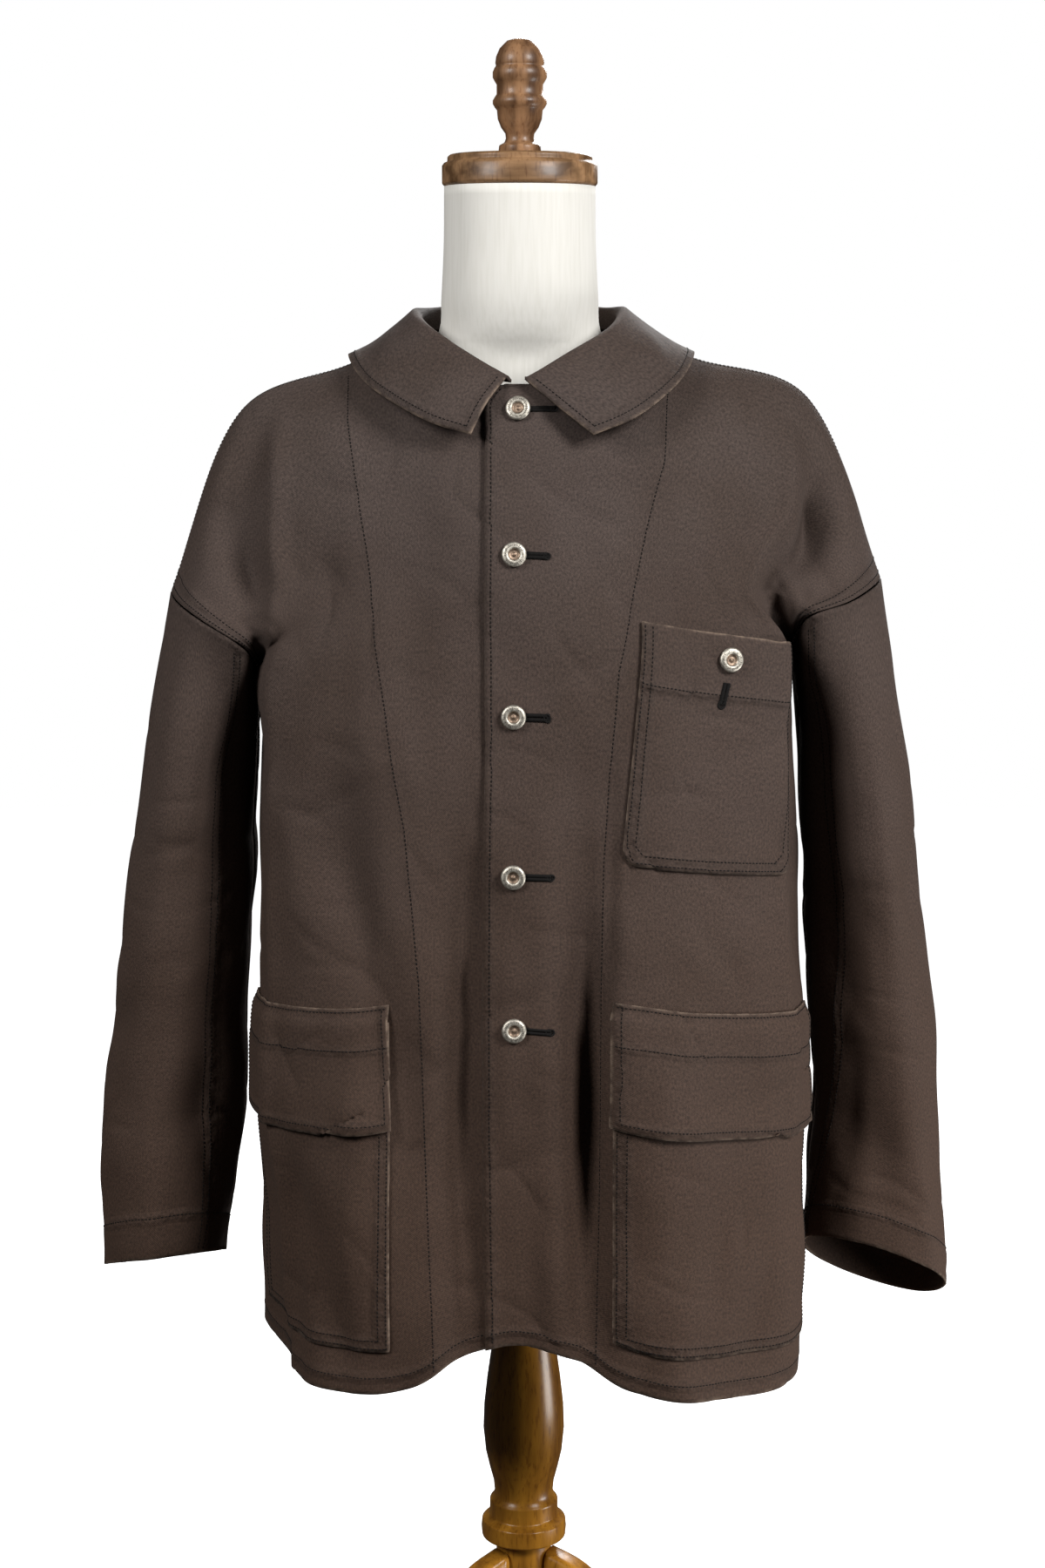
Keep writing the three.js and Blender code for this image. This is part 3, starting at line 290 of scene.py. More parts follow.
def outer_crease(side, x, v):
    beyond = np.abs(x) - CREASE_X[side]
    ridge = CREASE_RISE * pull(beyond + CREASE_WIDTH / 2, CREASE_WIDTH)
    hollow = HOLLOW_DEPTH * pull(beyond - HOLLOW_AWAY, HOLLOW_WIDTH)
    return (ridge - hollow) * smooth(*CREASE_STARTS, v) * smooth(*CREASE_ENDS, v)


# How far from the centre line, a seam and the shoulder the folds and the ripples reach their full rise
FOLD_FROM_CENTRE, FOLD_FROM_SEAM = 12, 24
RIPPLE_FROM_SEAM, RIPPLE_FROM_TOP = 16, 20
FACE_SHIFT = {"front": 0.3, "back": 2.2}


def one_side(face, side, g, v):
    turn = 1 if (side == "right") == (face == "front") else -1
    plain = lambda a, b: plain_body(face, side, a, b)
    outward = -turn * normals_of(plain, g, v)
    rise = sum(fold_rise(g, v, fold) for fold in BODY_FOLDS[face, side])
    sign = -1 if side == "left" else 1
    if face == "front":
        rise = rise + outer_crease(side, plain(g, v)[:, 0], v)
    rise = rise * smooth(0, FOLD_FROM_CENTRE, g) * smooth(0, FOLD_FROM_SEAM, SIDE_G - g)
    rise = rise * smooth(0, FOLD_FROM_SEAM, v)
    fine = ripple(sign * g, v, FACE_SHIFT[face])
    rise = rise + fine * smooth(0, RIPPLE_FROM_SEAM, SIDE_G - g) * smooth(0, RIPPLE_FROM_TOP, v)
    return plain(g, v) + outward * rise[:, None]


def body(face, g, v):
    """The outer face of the jacket's body in mm. g is negative on the viewer's left."""
    point = np.empty((len(g), 3))
    for side, there in (("left", g < 0), ("right", g >= 0)):
        if there.any():
            point[there] = one_side(face, side, np.abs(g[there]), v[there])
    return point


def to_frame(points):
    """From mm round the pole and the base of the neck to metres in the part's frame."""
    return points * MM + np.array([0, STAND_Y, NECK_Z])


def finish_piece(obj, material):
    bpy.context.collection.objects.link(obj)
    obj.data.materials.append(material)
    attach(obj, "root")
    return obj


def set_attribute(mesh, name, values):
    layer = mesh.attributes.new(name, "FLOAT", "POINT")
    layer.data.foreach_set("value", np.asarray(values, np.float32))


def mesh_from(bm, name):
    """The smooth-shaded mesh of bm, which is freed."""
    mesh = bpy.data.meshes.new(name)
    bm.to_mesh(mesh)
    bm.free()
    mesh.polygons.foreach_set("use_smooth", [True] * len(mesh.polygons))
    return mesh


def rework(mesh, *steps):
    """Runs bmesh steps on a mesh in place."""
    bm = bmesh.new()
    bm.from_mesh(mesh)
    for step in steps:
        step(bm)
    bm.to_mesh(mesh)
    bm.free()


def join_doubles(bm, near=1e-5):
    bmesh.ops.remove_doubles(bm, verts=bm.verts, dist=near)


def face_out(bm):
    bmesh.ops.recalc_face_normals(bm, faces=bm.faces)


def fill_ends(bm):
    """Closes the open ends of a tube with flat faces."""
    bmesh.ops.holes_fill(bm, edges=[edge for edge in bm.edges if edge.is_boundary], sides=0)
    for face in bm.faces:
        face.smooth = len(face.verts) < 5


def sheet_mesh(name, us, vs, place, marks=None, outward=(0, -1, 0), joined=False, cut=lambda u, v: (u, v)):
    """A grid mapped onto a surface: place(u, v) gives mm, marks(u, v) its wear and seam values and
    cut(u, v) the place on the flat cloth in mm."""
    bm = bmesh.new()
    bmesh.ops.create_grid(bm, x_segments=len(us) - 1, y_segments=len(vs) - 1, size=1)
    mesh = mesh_from(bm, name)
    co = np.empty(len(mesh.vertices) * 3)
    mesh.vertices.foreach_get("co", co)
    co = co.reshape(-1, 3)
    i = np.rint((co[:, 0] + 1) / 2 * (len(us) - 1)).astype(int)
    j = np.rint((co[:, 1] + 1) / 2 * (len(vs) - 1)).astype(int)
    u, v = np.asarray(us, float)[i], np.asarray(vs, float)[j]
    mesh.vertices.foreach_set("co", to_frame(place(u, v)).ravel())
    worn, seam = marks(u, v) if marks else (np.zeros(len(u)), np.zeros(len(u)))
    set_attribute(mesh, "worn", worn)
    set_attribute(mesh, "seam", seam)
    layer = mesh.uv_layers.new(name="cut")
    corner = np.empty(len(mesh.loops), int)
    mesh.loops.foreach_get("vertex_index", corner)
    layer.data.foreach_set("uv", (np.stack(cut(u, v), 1)[corner] * MM).ravel())
    mesh.update()
    middle = mesh.polygons[(len(vs) - 1) // 2 * (len(us) - 1) + (len(us) - 1) // 2]
    if middle.normal.dot(Vector(outward)) < 0:
        mesh.flip_normals()
    if joined:
        rework(mesh, join_doubles)
    return mesh


def cloth_piece(name, mesh, thickness, replaced):
    """A sheet with its wall behind it, riding on the part in place of its solid."""
    obj = finish_piece(bpy.data.objects.new(name, mesh), jacket_cloth)
    wall = obj.modifiers.new("wall", "SOLIDIFY")
    wall.thickness = thickness * MM
    wall.offset = -1
    wall.use_even_offset = False
    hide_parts(replaced)
    return obj


def edge_marks(distance, worn_width=2.0, seam_at=(6,), seam_width=3.2):
    """Wear along an edge and the pull of the stitch rows beside it, from the distance to that edge; the cloth
    shows that pull as pucker bumps and as painted shade.
    """
    worn = np.clip(1 - distance / worn_width, 0, 1)
    seam = sum(pull(distance - at, seam_width) for at in seam_at)
    return worn, seam


def table_line(table, v):
    """g at v, from a short table of (v, g) pairs."""
    vs, gs = zip(*table)
    return np.interp(v, vs, gs)


FACING = {
    "left": ((0, 128), (60, 130), (185, 121), (265, 100), (347, 83), (460, 72), (571, 68), (760, 62)),
    "right": ((0, 113), (95, 115), (165, 98), (240, 76), (306, 69), (374, 64), (470, 61), (760, 58)),
}
PLACKET_STITCH = 5
HEM_STITCH = 12
SIDE_STITCH = 9
HEM_WEAR, FREE_EDGE_WEAR = 2.4, 1.2
FREE_EDGE_SHARE, FACING_SHARE = 0.35, 0.35
SEAM_PULL, ROW_PULL = 4, 3
TOP_START = 0.2
TOP_SQUARENESS = 0.96


def front_edge(v):
    """How far the free front edge reaches past the button line; it curves in at the top."""
    share = np.minimum(np.maximum(v, TOP_START) / TOP_CURVE, 1)
    return LAP * np.sqrt(1 - (1 - share) ** 2 * TOP_SQUARENESS)


def on_front(side, g, v, lift):
    """A place that far off the front, where g is positive on both sides."""
    sign = -1 if side == "left" else 1
    surface = lambda a, b: body("front", a, b)
    n = normals_of(surface, sign * g, v)
    n *= np.where(n[:, 1] > 0, -1, 1)[:, None]
    lapped = LAP_LIFT * (1 - smooth(*LAP_BLEND, g)) if side == "right" else 0
    return surface(sign * g, v) + n * np.broadcast_to(lift + lapped, g.shape)[:, None]


def front_place(side):
    def place(u, v):
        # u runs from 0 at the free edge to 1 at the side seam or armhole
        reach = front_edge(v)
        g = -reach + u * (reach + SIDE_G - SEAM_GAP / 2)
        return on_front(side, g, np.maximum(v, SEAM_GAP / 2), 0)
    return place


def front_cut(u, v):
    reach = front_edge(v)
    return -reach + u * (reach + SIDE_G), v


def front_marks(side):
    def marks(u, v):
        g, _ = front_cut(u, v)
        worn_free, seam_free = edge_marks(g + front_edge(v), FREE_EDGE_WEAR, (PLACKET_STITCH,))
        worn_hem, seam_hem = edge_marks(HEM_V - v, HEM_WEAR, (HEM_STITCH,))
        facing = pull(g - table_line(FACING[side], v), ROW_PULL) * FACING_SHARE
        side_seam = pull(SIDE_G - g, SEAM_PULL) + pull(SIDE_G - g - SIDE_STITCH, ROW_PULL)
        worn = np.maximum(worn_free * FREE_EDGE_SHARE, worn_hem)
        return worn, seam_free + seam_hem + facing + side_seam + pull(v, SEAM_PULL)
    return marks


class Shading:
    """The nodes of one material: makes them, and sets or links their inputs by name."""

    def __init__(self, name):
        self.material = bpy.data.materials.new(name)
        self.material.use_nodes = True
        self.tree = self.material.node_tree

    def put(self, socket, value):
        if isinstance(value, bpy.types.NodeSocket):
            self.tree.links.new(value, socket)
        elif socket.type == "RGBA":
            socket.default_value = (*value, 1)
        else:
            socket.default_value = value

    def node(self, kind, **inputs):
        made = self.tree.nodes.new("ShaderNode" + kind)
        for name, value in inputs.items():
            self.put(made.inputs[name.replace("_", " ")], value)
        return made

    def surface(self, **inputs):
        """Sets the shader's inputs and gives the material."""
        for name, value in inputs.items():
            self.put(self.tree.nodes["Principled BSDF"].inputs[name.replace("_", " ")], value)
        return self.material

    def place(self, source="Object"):
        return self.node("TexCoord").outputs[source]

    def noise(self, scale, detail, source="Object", stretch=None, roughness=0.5):
        where = self.place(source)
        if stretch:
            where = self.node("Mapping", Vector=where, Scale=stretch).outputs[0]
        made = self.node("TexNoise", Vector=where, Scale=scale, Detail=detail, Roughness=roughness)
        return made.outputs["Fac"]

    def ramp(self, factor, *ends):
        """A blend between two (position, colour) ends."""
        made = self.node("ValToRGB", Fac=factor)
        for element, (position, colour) in zip(made.color_ramp.elements, ends):
            element.position = position
            element.color = (*colour, 1)
        return made.outputs[0]

    def math(self, operation, a, b, clamp=False):
        made = self.node("Math")
        made.operation = operation
        made.use_clamp = clamp
        self.put(made.inputs[0], a)
        self.put(made.inputs[1], b)
        return made.outputs[0]

    def mix(self, factor, a, b, blend="MIX"):
        made = self.node("Mix")
        made.data_type = "RGBA"
        made.blend_type = blend
        # In a colour mix, inputs 6 and 7 are the two colours and output 2 is the result
        for index, value in ((0, factor), (6, a), (7, b)):
            self.put(made.inputs[index], value)
        return made.outputs[2]

    def bump(self, height, strength, distance, under=None):
        made = self.node("Bump", Strength=strength, Distance=distance, Height=height)
        if under is not None:
            self.put(made.inputs["Normal"], under)
        return made.outputs[0]


DEEP_BROWN, WASHED_BROWN = (0.041, 0.0275, 0.0215), (0.058, 0.0430, 0.0378)
FADED_BROWN, LOW_SHADE_BROWN = (0.069, 0.0515, 0.0447), (0.055, 0.0322, 0.0222)
SEAM_SHADE_BROWN, RUBBED_BROWN = (0.030, 0.022, 0.018), (0.24, 0.175, 0.13)
GRAIN_DARK, GRAIN_PALE = (0.6, 0.6, 0.6), (1.42, 1.39, 1.36)
# Painted shade towards the bottom: between these heights the twill turns darker and redder, up to this share
FULL_LOW_SHADE_Z, NO_LOW_SHADE_Z, LOW_SHADE_SHARE = 0.7, 1.3, 0.95
# How far the painted shade along the stitch rows darkens the twill
SEAM_SHADE_SHARE = 0.42
TWILL_DEPTH, CRUMPLE_DEPTH, PUCKER_DEPTH = 0.0002, 0.003, 0.0026


def cloth_material():
    """Brushed cotton twill: dark brown, mottled by washing, paler where edges rub, puckered along its seams;
    painted shade darkens it along the seams and, redder, towards the bottom.
    """
    s = Shading("washed_brown_twill")

    def noise(scale, detail, source="Object", stretch=None):
        return s.noise(scale, detail, source, stretch, roughness=0.6)

    def mark(name):
        made = s.node("Attribute")
        made.attribute_name = name
        return made.outputs["Fac"]

    worn, seam = mark("worn"), mark("seam")
    broad = s.ramp(noise(5.5, 3), (0.38, DEEP_BROWN), (0.6, WASHED_BROWN))
    streaks = s.math("MULTIPLY", noise(34, 5, stretch=(1, 1, 0.4)), 0.6)
    fade_and_shade = s.mix(streaks, broad, FADED_BROWN)
    # Painted shade: the twill turns darker and redder towards the bottom, for light that falls off downwards
    height = s.node("SeparateXYZ", Vector=s.place()).outputs["Z"]
    lower = s.node("MapRange", Value=height, From_Min=NO_LOW_SHADE_Z, From_Max=FULL_LOW_SHADE_Z, To_Max=LOW_SHADE_SHARE)
    fade_and_shade = s.mix(lower.outputs[0], fade_and_shade, LOW_SHADE_BROWN)
    grain = s.ramp(noise(640, 3, "UV", (1, 0.7, 1)), (0.3, GRAIN_DARK), (0.7, GRAIN_PALE))
    grained = s.mix(1, fade_and_shade, grain, "MULTIPLY")
    # Painted shade: the twill is darkened along the stitch rows, in place of the shade in their puckers and
    # grooves
    seam_shade_mask = s.math("MULTIPLY", seam, noise(160, 2))
    seam_shaded = s.mix(s.math("MULTIPLY", seam_shade_mask, SEAM_SHADE_SHARE, True), grained, SEAM_SHADE_BROWN)
    patchy = s.node("MapRange", Value=noise(130, 3), From_Min=0.4, From_Max=0.62, To_Min=0.12)
    rub = s.math("MULTIPLY", s.math("POWER", worn, 2), patchy.outputs[0], True)
    colour = s.mix(rub, seam_shaded, RUBBED_BROWN)
    twill = s.node("TexWave", Vector=s.place("UV"), Scale=420, Distortion=1.2, Detail_Scale=3)
    twill.wave_type = "BANDS"
    twill.bands_direction = "DIAGONAL"
    weave = s.bump(twill.outputs["Fac"], 0.5, TWILL_DEPTH)
    fine = s.math("ADD", s.math("MULTIPLY", noise(150, 5), 0.22), noise(14, 3))
    crumple = s.bump(fine, 0.6, CRUMPLE_DEPTH, weave)
    pucker = s.bump(s.math("MULTIPLY", seam, noise(115, 2)), 1, PUCKER_DEPTH, crumple)
    return s.surface(Base_Color=colour, Normal=pucker, Roughness=0.82, Specular_IOR_Level=0.22,
                     Sheen_Weight=0.015, Sheen_Roughness=0.45, Sheen_Tint=(0.9, 0.8, 0.72))


jacket_cloth = cloth_material()
FRONT_U = np.linspace(0, 1, 112)
BODY_V = np.linspace(0, HEM_V, 210)
front_right = cloth_piece("front_right_cloth", sheet_mesh(
    "front_right_cloth", FRONT_U, BODY_V, front_place("left"), front_marks("left"), cut=front_cut),
    CLOTH, "front_right")
front_left = cloth_piece("front_left_cloth", sheet_mesh(
    "front_left_cloth", FRONT_U, BODY_V, front_place("right"), front_marks("right"), cut=front_cut),
    CLOTH, "front_left")

# Back: one panel of the same twill, sewn to the fronts at the shoulders and the sides.
BACK_G = np.linspace(-(SIDE_G - SEAM_GAP / 2), SIDE_G - SEAM_GAP / 2, 161)


def back_marks(u, v):
    away = SIDE_G - np.abs(u)
    worn, seam = edge_marks(HEM_V - v, HEM_WEAR, (HEM_STITCH,))
    side_seam = pull(away, SEAM_PULL) + pull(away - SIDE_STITCH, ROW_PULL)
    return worn, seam + side_seam + pull(v, SEAM_PULL)


back = cloth_piece("back_cloth", sheet_mesh(
    "back_cloth", BACK_G, np.linspace(SEAM_GAP / 2, HEM_V, 190), lambda u, v: body("back", u, v), back_marks,
    outward=(0, 1, 0)), CLOTH, "back")

# Sleeves: open tubes, each one piece with its seam under the arm and a turned hem at the wrist.
SLEEVE_RINGS = {
    # along, z, inner, outer, front, back, lean, tip
    "left": [(75, -300, 205, 288, -77, 95, -0.05, 0), (165, -390, 208, 303, -74, 91, -0.12, 0),
             (255, -480, 213, 315, -69, 84, -0.2, 0), (345, -570, 217, 325, -65, 76, -0.3, 0.05),
             (420, -645, 225, 330, -61, 69, -0.42, 0.1), (488, -717, 236, 332, -58, 64, -0.31, 0.12)],
    "right": [(75, -290, 211, 290, -77, 95, -0.05, 0), (165, -380, 216, 303, -74, 91, -0.12, 0),
              (255, -475, 223, 315, -69, 84, -0.2, -0.1), (345, -570, 228, 326, -65, 76, -0.3, -0.2),
              (425, -650, 226, 331, -61, 70, -0.42, -0.28), (498, -722, 223, 334, -58, 66, -0.52, -0.35)],
}
SLEEVE_GIRTH = 400
SLEEVE_ROUNDNESS = 2.25
CUFF_HEM = 28
CUFF_STEP = 0.7
SLEEVE_FOLDS = {
    "left": [(0.14, 20, 0.17, 470, 30, -13, 90), (0.27, 330, 0.26, 520, 13, 4, 70),
             (0.3, 270, 0.48, 330, 16, -4, 50), (0.66, 90, 0.74, 360, 30, -7, 90),
             (0.36, 210, 0.5, 265, 20, -4, 60),
             (0.26, 60, 0.3, 330, 14, 2.2, 90), (0.34, 30, 0.42, 200, 13, -2, 60),
             (0.24, 360, 0.29, 480, 12, -2.2, 50), (0.1, 120, 0.26, 200, 12, -2.6, 60),
             (0.1, 230, 0.27, 290, 12, 2.4, 50), (0.55, 250, 0.72, 310, 14, -3, 60),
             (0.38, 330, 0.44, 470, 14, 2, 60), (0.56, 30, 0.62, 190, 14, 2.2, 60)],
    "right": [(0.13, 20, 0.17, 470, 30, -13, 90), (0.22, 260, 0.26, 540, 15, -6, 170),
              (0.3, 150, 0.46, 260, 14, -4, 50), (0.68, 90, 0.72, 380, 30, -7, 90),
              (0.36, 190, 0.5, 240, 20, -4, 60),
              (0.27, 70, 0.3, 300, 14, 2.2, 90), (0.36, 30, 0.4, 200, 13, -2.2, 60),
              (0.1, 170, 0.27, 250, 12, -2.8, 60), (0.1, 290, 0.25, 340, 12, 2.2, 50),
              (0.33, 380, 0.36, 520, 13, 4, 60), (0.55, 230, 0.72, 290, 14, -3, 60),
              (0.58, 30, 0.6, 190, 14, 2.2, 60)],
}
ARMHOLE_STEPS = [0, 20, 40, 60, 87.5, 115, 142.5, 170, 197.5, 225]


def plain_sleeve(side, turn, along):
    sign = -1 if side == "left" else 1
    turn = np.mod(turn, 1)
    step = np.abs(turn - 0.5) * 2 * (len(ARMHOLE_STEPS) - 1)
    v = np.interp(step, np.arange(len(ARMHOLE_STEPS)), ARMHOLE_STEPS)
    g = np.full(len(v), float(SIDE_G))
    hole = np.where((turn < 0.5)[:, None], plain_body("front", side, g, v), plain_body("back", side, g, v))
    hole[:, 0] += sign * SEAM_GAP
    angle = turn * 2 * math.pi
    bend = lambda value: np.sign(value) * np.abs(value) ** (2 / SLEEVE_ROUNDNESS)
    rings = [hole]
    for _, z, inner, outer, front, rear, lean, tip in SLEEVE_RINGS[side]:
        x = (inner + outer) / 2 - bend(np.cos(angle)) * (outer - inner) / 2
        y = (front + rear) / 2 - bend(np.sin(angle)) * (rear - front) / 2
        height = z + lean * y + tip * sign * (x - (inner + outer) / 2)
        rings.append(np.stack([sign * x, y, height], 1))
    return through([0] + [ring[0] for ring in SLEEVE_RINGS[side]], np.stack(rings), along)


def sleeve(side, turn, along):
    """The outer face of a sleeve in mm: turn is the share of the way round, along is down the arm."""
    outward = normals_of(lambda a, b: plain_sleeve(side, a / SLEEVE_GIRTH, b), turn * SLEEVE_GIRTH, along)
    outward *= 1 if side == "left" else -1
    rise = sum(fold_rise(turn * SLEEVE_GIRTH, along, (t0 * SLEEVE_GIRTH, s0, t1 * SLEEVE_GIRTH, s1, *rest))
               for t0, s0, t1, s1, *rest in SLEEVE_FOLDS[side])
    rise = rise + ripple(np.sin(turn * 2 * math.pi) * 80, along, 1.1 if side == "left" else 4.0)
    hem = smooth(3, 0, along - (SLEEVE_RINGS[side][-1][0] - CUFF_HEM)) * -CUFF_STEP + CUFF_STEP
    return plain_sleeve(side, turn, along) + outward * (rise * smooth(4, 50, along) + hem)[:, None]


# The seam under the arm, by its place round the sleeve at some distances along it
UNDER_SEAM = {"left": ((0, 0.1), (100, 0.115), (240, 0.127), (480, 0.12)),
              "right": ((0, 0.095), (240, 0.107), (350, 0.09), (490, 0.03))}
UNDER_PULL, ARMHOLE_PULL = 6, 5


def sleeve_marks(side, length):
    def marks(turn, along):
        worn, seam = edge_marks(length - along, HEM_WEAR, (CUFF_HEM,))
        round_by = np.abs(np.mod(turn, 1) - table_line(UNDER_SEAM[side], along)) * SLEEVE_GIRTH
        return worn, seam + pull(round_by, UNDER_PULL) + pull(along, ARMHOLE_PULL)
    return marks


SLEEVES = {}
for side, wearer in (("left", "right"), ("right", "left")):
    length = SLEEVE_RINGS[side][-1][0]
    name = f"sleeve_{wearer}_cloth"
    mesh = sheet_mesh(name, np.linspace(0, 1, 101), np.linspace(3 * SEAM_GAP, length, 150),
                      lambda turn, along, side=side: sleeve(side, turn, along), sleeve_marks(side, length),
                      joined=True, cut=lambda turn, along: (turn * SLEEVE_GIRTH, along))
    rework(mesh, face_out)
    centre = sum((v.co for v in mesh.vertices), Vector()) / len(mesh.vertices)
    facing = sum((p.center - centre).dot(Vector((p.normal.x, p.normal.y, 0))) for p in mesh.polygons)
    if facing < 0:
        mesh.flip_normals()
    SLEEVES[side] = cloth_piece(name, mesh, CLOTH, f"sleeve_{wearer}")

# Collar: a flat turned-down collar of two layers of the twill, with one row round its edge.
COLLAR_CLOTH = 2.4
COLLAR_ROLL = 5.5
STAND_FOOT_SHARE = 0.2
ROLL_SHARE = 0.3
COLLAR_ROWS = [
    # face, side, g, clear, bulge, roll, edge
    ("front", "left", 1, 3.6, 3.5, (-11, -98, -25), (-37, -119, -66)),
    ("front", "left", 30, 1.2, 3.5, (-38, -86, -9), (-72, -110, -55)),
    ("front", "left", 58, 1.2, 1.5, (-69, -51, 11), (-114, -67, -31)),
    ("front", "left", 80, 1.2, -2.5, (-77, -3, 22), (-131, 0, -10)),
    ("back", "left", 60, 1.2, 1, (-64, 44, 25), (-116, 76, -22)),
    ("back", "left", 20, 1.2, 3.5, (-26, 74, 29), (-48, 122, -40)),
    ("back", "right", 20, 1.2, 3.5, (22, 74, 29), (46, 122, -40)),
    ("back", "right", 60, 1.2, 1, (60, 44, 25), (114, 76, -21)),
    ("front", "right", 80, 1.2, -2.5, (72, -3, 23), (129, 0, -8)),
    ("front", "right", 58, 1.2, 1.5, (64, -51, 10), (116, -67, -28)),
    ("front", "right", 30, 1.2, 3.5, (30, -89, -10), (85, -107, -52)),
    ("front", "right", 1, 5.9, 3.5, (2, -102, -27), (51, -121, -66)),
]
COLLAR_END = len(COLLAR_ROWS) - 1
STAND_TO, LEAF_FROM = 0.3, 0.42
LEAF_LENGTH = 55
COLLAR_ROW_LENGTH = 35
COLLAR_STITCH = 5
# Creases in the leaf: from (t0, b0) to (t1, b1), half width, rise and fade, in mm along and across it
LEAF_CREASES = [(10, 4, 46, 52, 6, 1.5, 16), (34, 8, 78, 46, 7, -1.3, 16), (60, 50, 96, 12, 8, 1.2, 16),
                (386, 6, 346, 50, 6, 1.5, 16), (350, 10, 308, 48, 7, -1.3, 16), (322, 46, 290, 10, 8, 1.2, 16),
                (150, 10, 196, 48, 9, 1.2, 20), (236, 12, 212, 50, 9, -1.2, 20)]


def unit(vectors):
    return vectors / np.linalg.norm(vectors, axis=1)[:, None]


def dot(a, b):
    return np.sum(a * b, axis=1)[:, None]


def collar(t, s):
    """The collar's face in mm: t runs from end to end in rows, s from the neckline to the edge."""
    knots = range(len(COLLAR_ROWS))
    spread = lambda p: np.repeat(np.asarray(p, float)[None], len(t), 0)
    line = lambda points: through(knots, np.stack([spread(point) for point in points]), t)
    roll, edge = (line([row[column] for row in COLLAR_ROWS]) for column in (5, 6))
    bulge = line([(row[4], 0, 0) for row in COLLAR_ROWS])[:, :1]
    feet = [plain_body(face, side, np.array([float(g)]), np.zeros(1))[0] + (0, 0, clear)
            for face, side, g, clear, *_ in COLLAR_ROWS]
    seam = line(feet)
    stand = seam - roll
    radius = np.minimum(COLLAR_ROLL, np.linalg.norm(stand, axis=1) * ROLL_SHARE)[:, None]
    stand, leaf = unit(stand), unit(edge - roll)
    away = unit(-(stand + leaf))
    inner, outer = unit(away - stand * dot(away, stand)), unit(away - leaf * dot(away, leaf))
    centre = roll - away * radius
    foot = seam + inner * radius * STAND_FOOT_SHARE
    turn = np.clip((s - STAND_TO) / (LEAF_FROM - STAND_TO), 0, 1)[:, None]
    fold = centre + unit(inner * (1 - turn) + outer * turn) * radius
    rise = foot + (centre + inner * radius - foot) * (s / STAND_TO)[:, None]
    down = np.clip((s - LEAF_FROM) / (1 - LEAF_FROM), 0, 1)[:, None]
    crease = sum(fold_rise(t * COLLAR_ROW_LENGTH, down[:, 0] * LEAF_LENGTH, row) for row in LEAF_CREASES)
    crease = (crease + 0.35 * ripple(t * 60, down[:, 0] * 90, 2.0))[:, None]
    fall = (centre + outer * radius) * (1 - down) + edge * down
    fall = fall + outer * (bulge + crease) * np.sin(down * math.pi)
    return np.where((s < STAND_TO)[:, None], rise, np.where((s < LEAF_FROM)[:, None], fold, fall))


def collar_marks(t, s):
    to_edge = (1 - s) / (1 - LEAF_FROM) * LEAF_LENGTH
    to_end = np.minimum(t, COLLAR_END - t) * COLLAR_ROW_LENGTH
    to_edge = np.minimum(to_edge, np.where(s > LEAF_FROM, to_end, 99))
    return edge_marks(to_edge, 1.8, (COLLAR_STITCH,))


collar_cloth = cloth_piece("collar_cloth", sheet_mesh(
    "collar_cloth", np.linspace(0, COLLAR_END, 150), np.linspace(0, 1, 42), collar, collar_marks,
    outward=(0, 1, 0.3), cut=lambda t, s: (t * COLLAR_ROW_LENGTH, s * LEAF_LENGTH / (1 - LEAF_FROM))),
    COLLAR_CLOTH, "collar")

# Chest pocket: a patch with a turned band at its top, on the wearer's left front.
POCKET_CLOTH = 1.5
POCKET_LIFT = LAY_GAP + 1.6
POCKET_BULGE = 1.3
PATCH_WEAR, PATCH_TOP_SHARE = 1.6, 0.8
CHEST_LIFT = POCKET_LIFT + 0.3
CHEST_TOP = ((96, -200), (226, -222))
CHEST_BOTTOM = ((76, -374), (207, -392))
CHEST_CORNER = 12
CHEST_BAND = 48
CHEST_BAND_RISE = 0.7
CHEST_GAPE, CHEST_GAPE_DOWN = 1.5, 50
CHEST_WIDTH = CHEST_TOP[1][0] - CHEST_TOP[0][0]
CHEST_HEIGHT = CHEST_TOP[0][1] - CHEST_BOTTOM[0][1]
TWIN_ROWS = (2.5, 8.5)


def level_at(side, g, z):
    """How far down from the shoulder the front lies at height z."""
    high, low = np.zeros(len(g)), np.full(len(g), float(HEM_V))
    for _ in range(16):
        v = (high + low) / 2
        above = plain_body("front", side, np.abs(g), v)[:, 2] > z
        high, low = np.where(above, v, high), np.where(above, low, v)
    return (high + low) / 2


def pillow(to_edge, width=22):
    """0 along a sewn edge, rising softly to 1 within the patch."""
    return smooth(0, width, to_edge)


def chest_at(across, down):
    between = lambda a, b, share: a * (1 - share) + b * share
    to_side = np.minimum(across, 1 - across) * CHEST_WIDTH
    in_corner = np.clip(1 - to_side / CHEST_CORNER, 0, 1)
    down = down * (1 - CHEST_CORNER * (1 - np.sqrt(1 - in_corner ** 2)) / CHEST_HEIGHT)
    g, z = (between(between(CHEST_TOP[0][k], CHEST_TOP[1][k], across),
                    between(CHEST_BOTTOM[0][k], CHEST_BOTTOM[1][k], across), down) for k in (0, 1))
    return g, level_at("right", g, z)


def chest_place(across, down):
    below = down * CHEST_HEIGHT
    to_edge = np.minimum(np.minimum(across, 1 - across) * CHEST_WIDTH, (1 - down) * CHEST_HEIGHT)
    band = CHEST_BAND_RISE * (1 - smooth(CHEST_BAND - 1, CHEST_BAND + 1.5, below))
    gape = CHEST_GAPE * np.sin(across * math.pi) * (1 - smooth(0, CHEST_GAPE_DOWN, below))
    return on_front("right", *chest_at(across, down), CHEST_LIFT + POCKET_BULGE * pillow(to_edge) + band + gape)


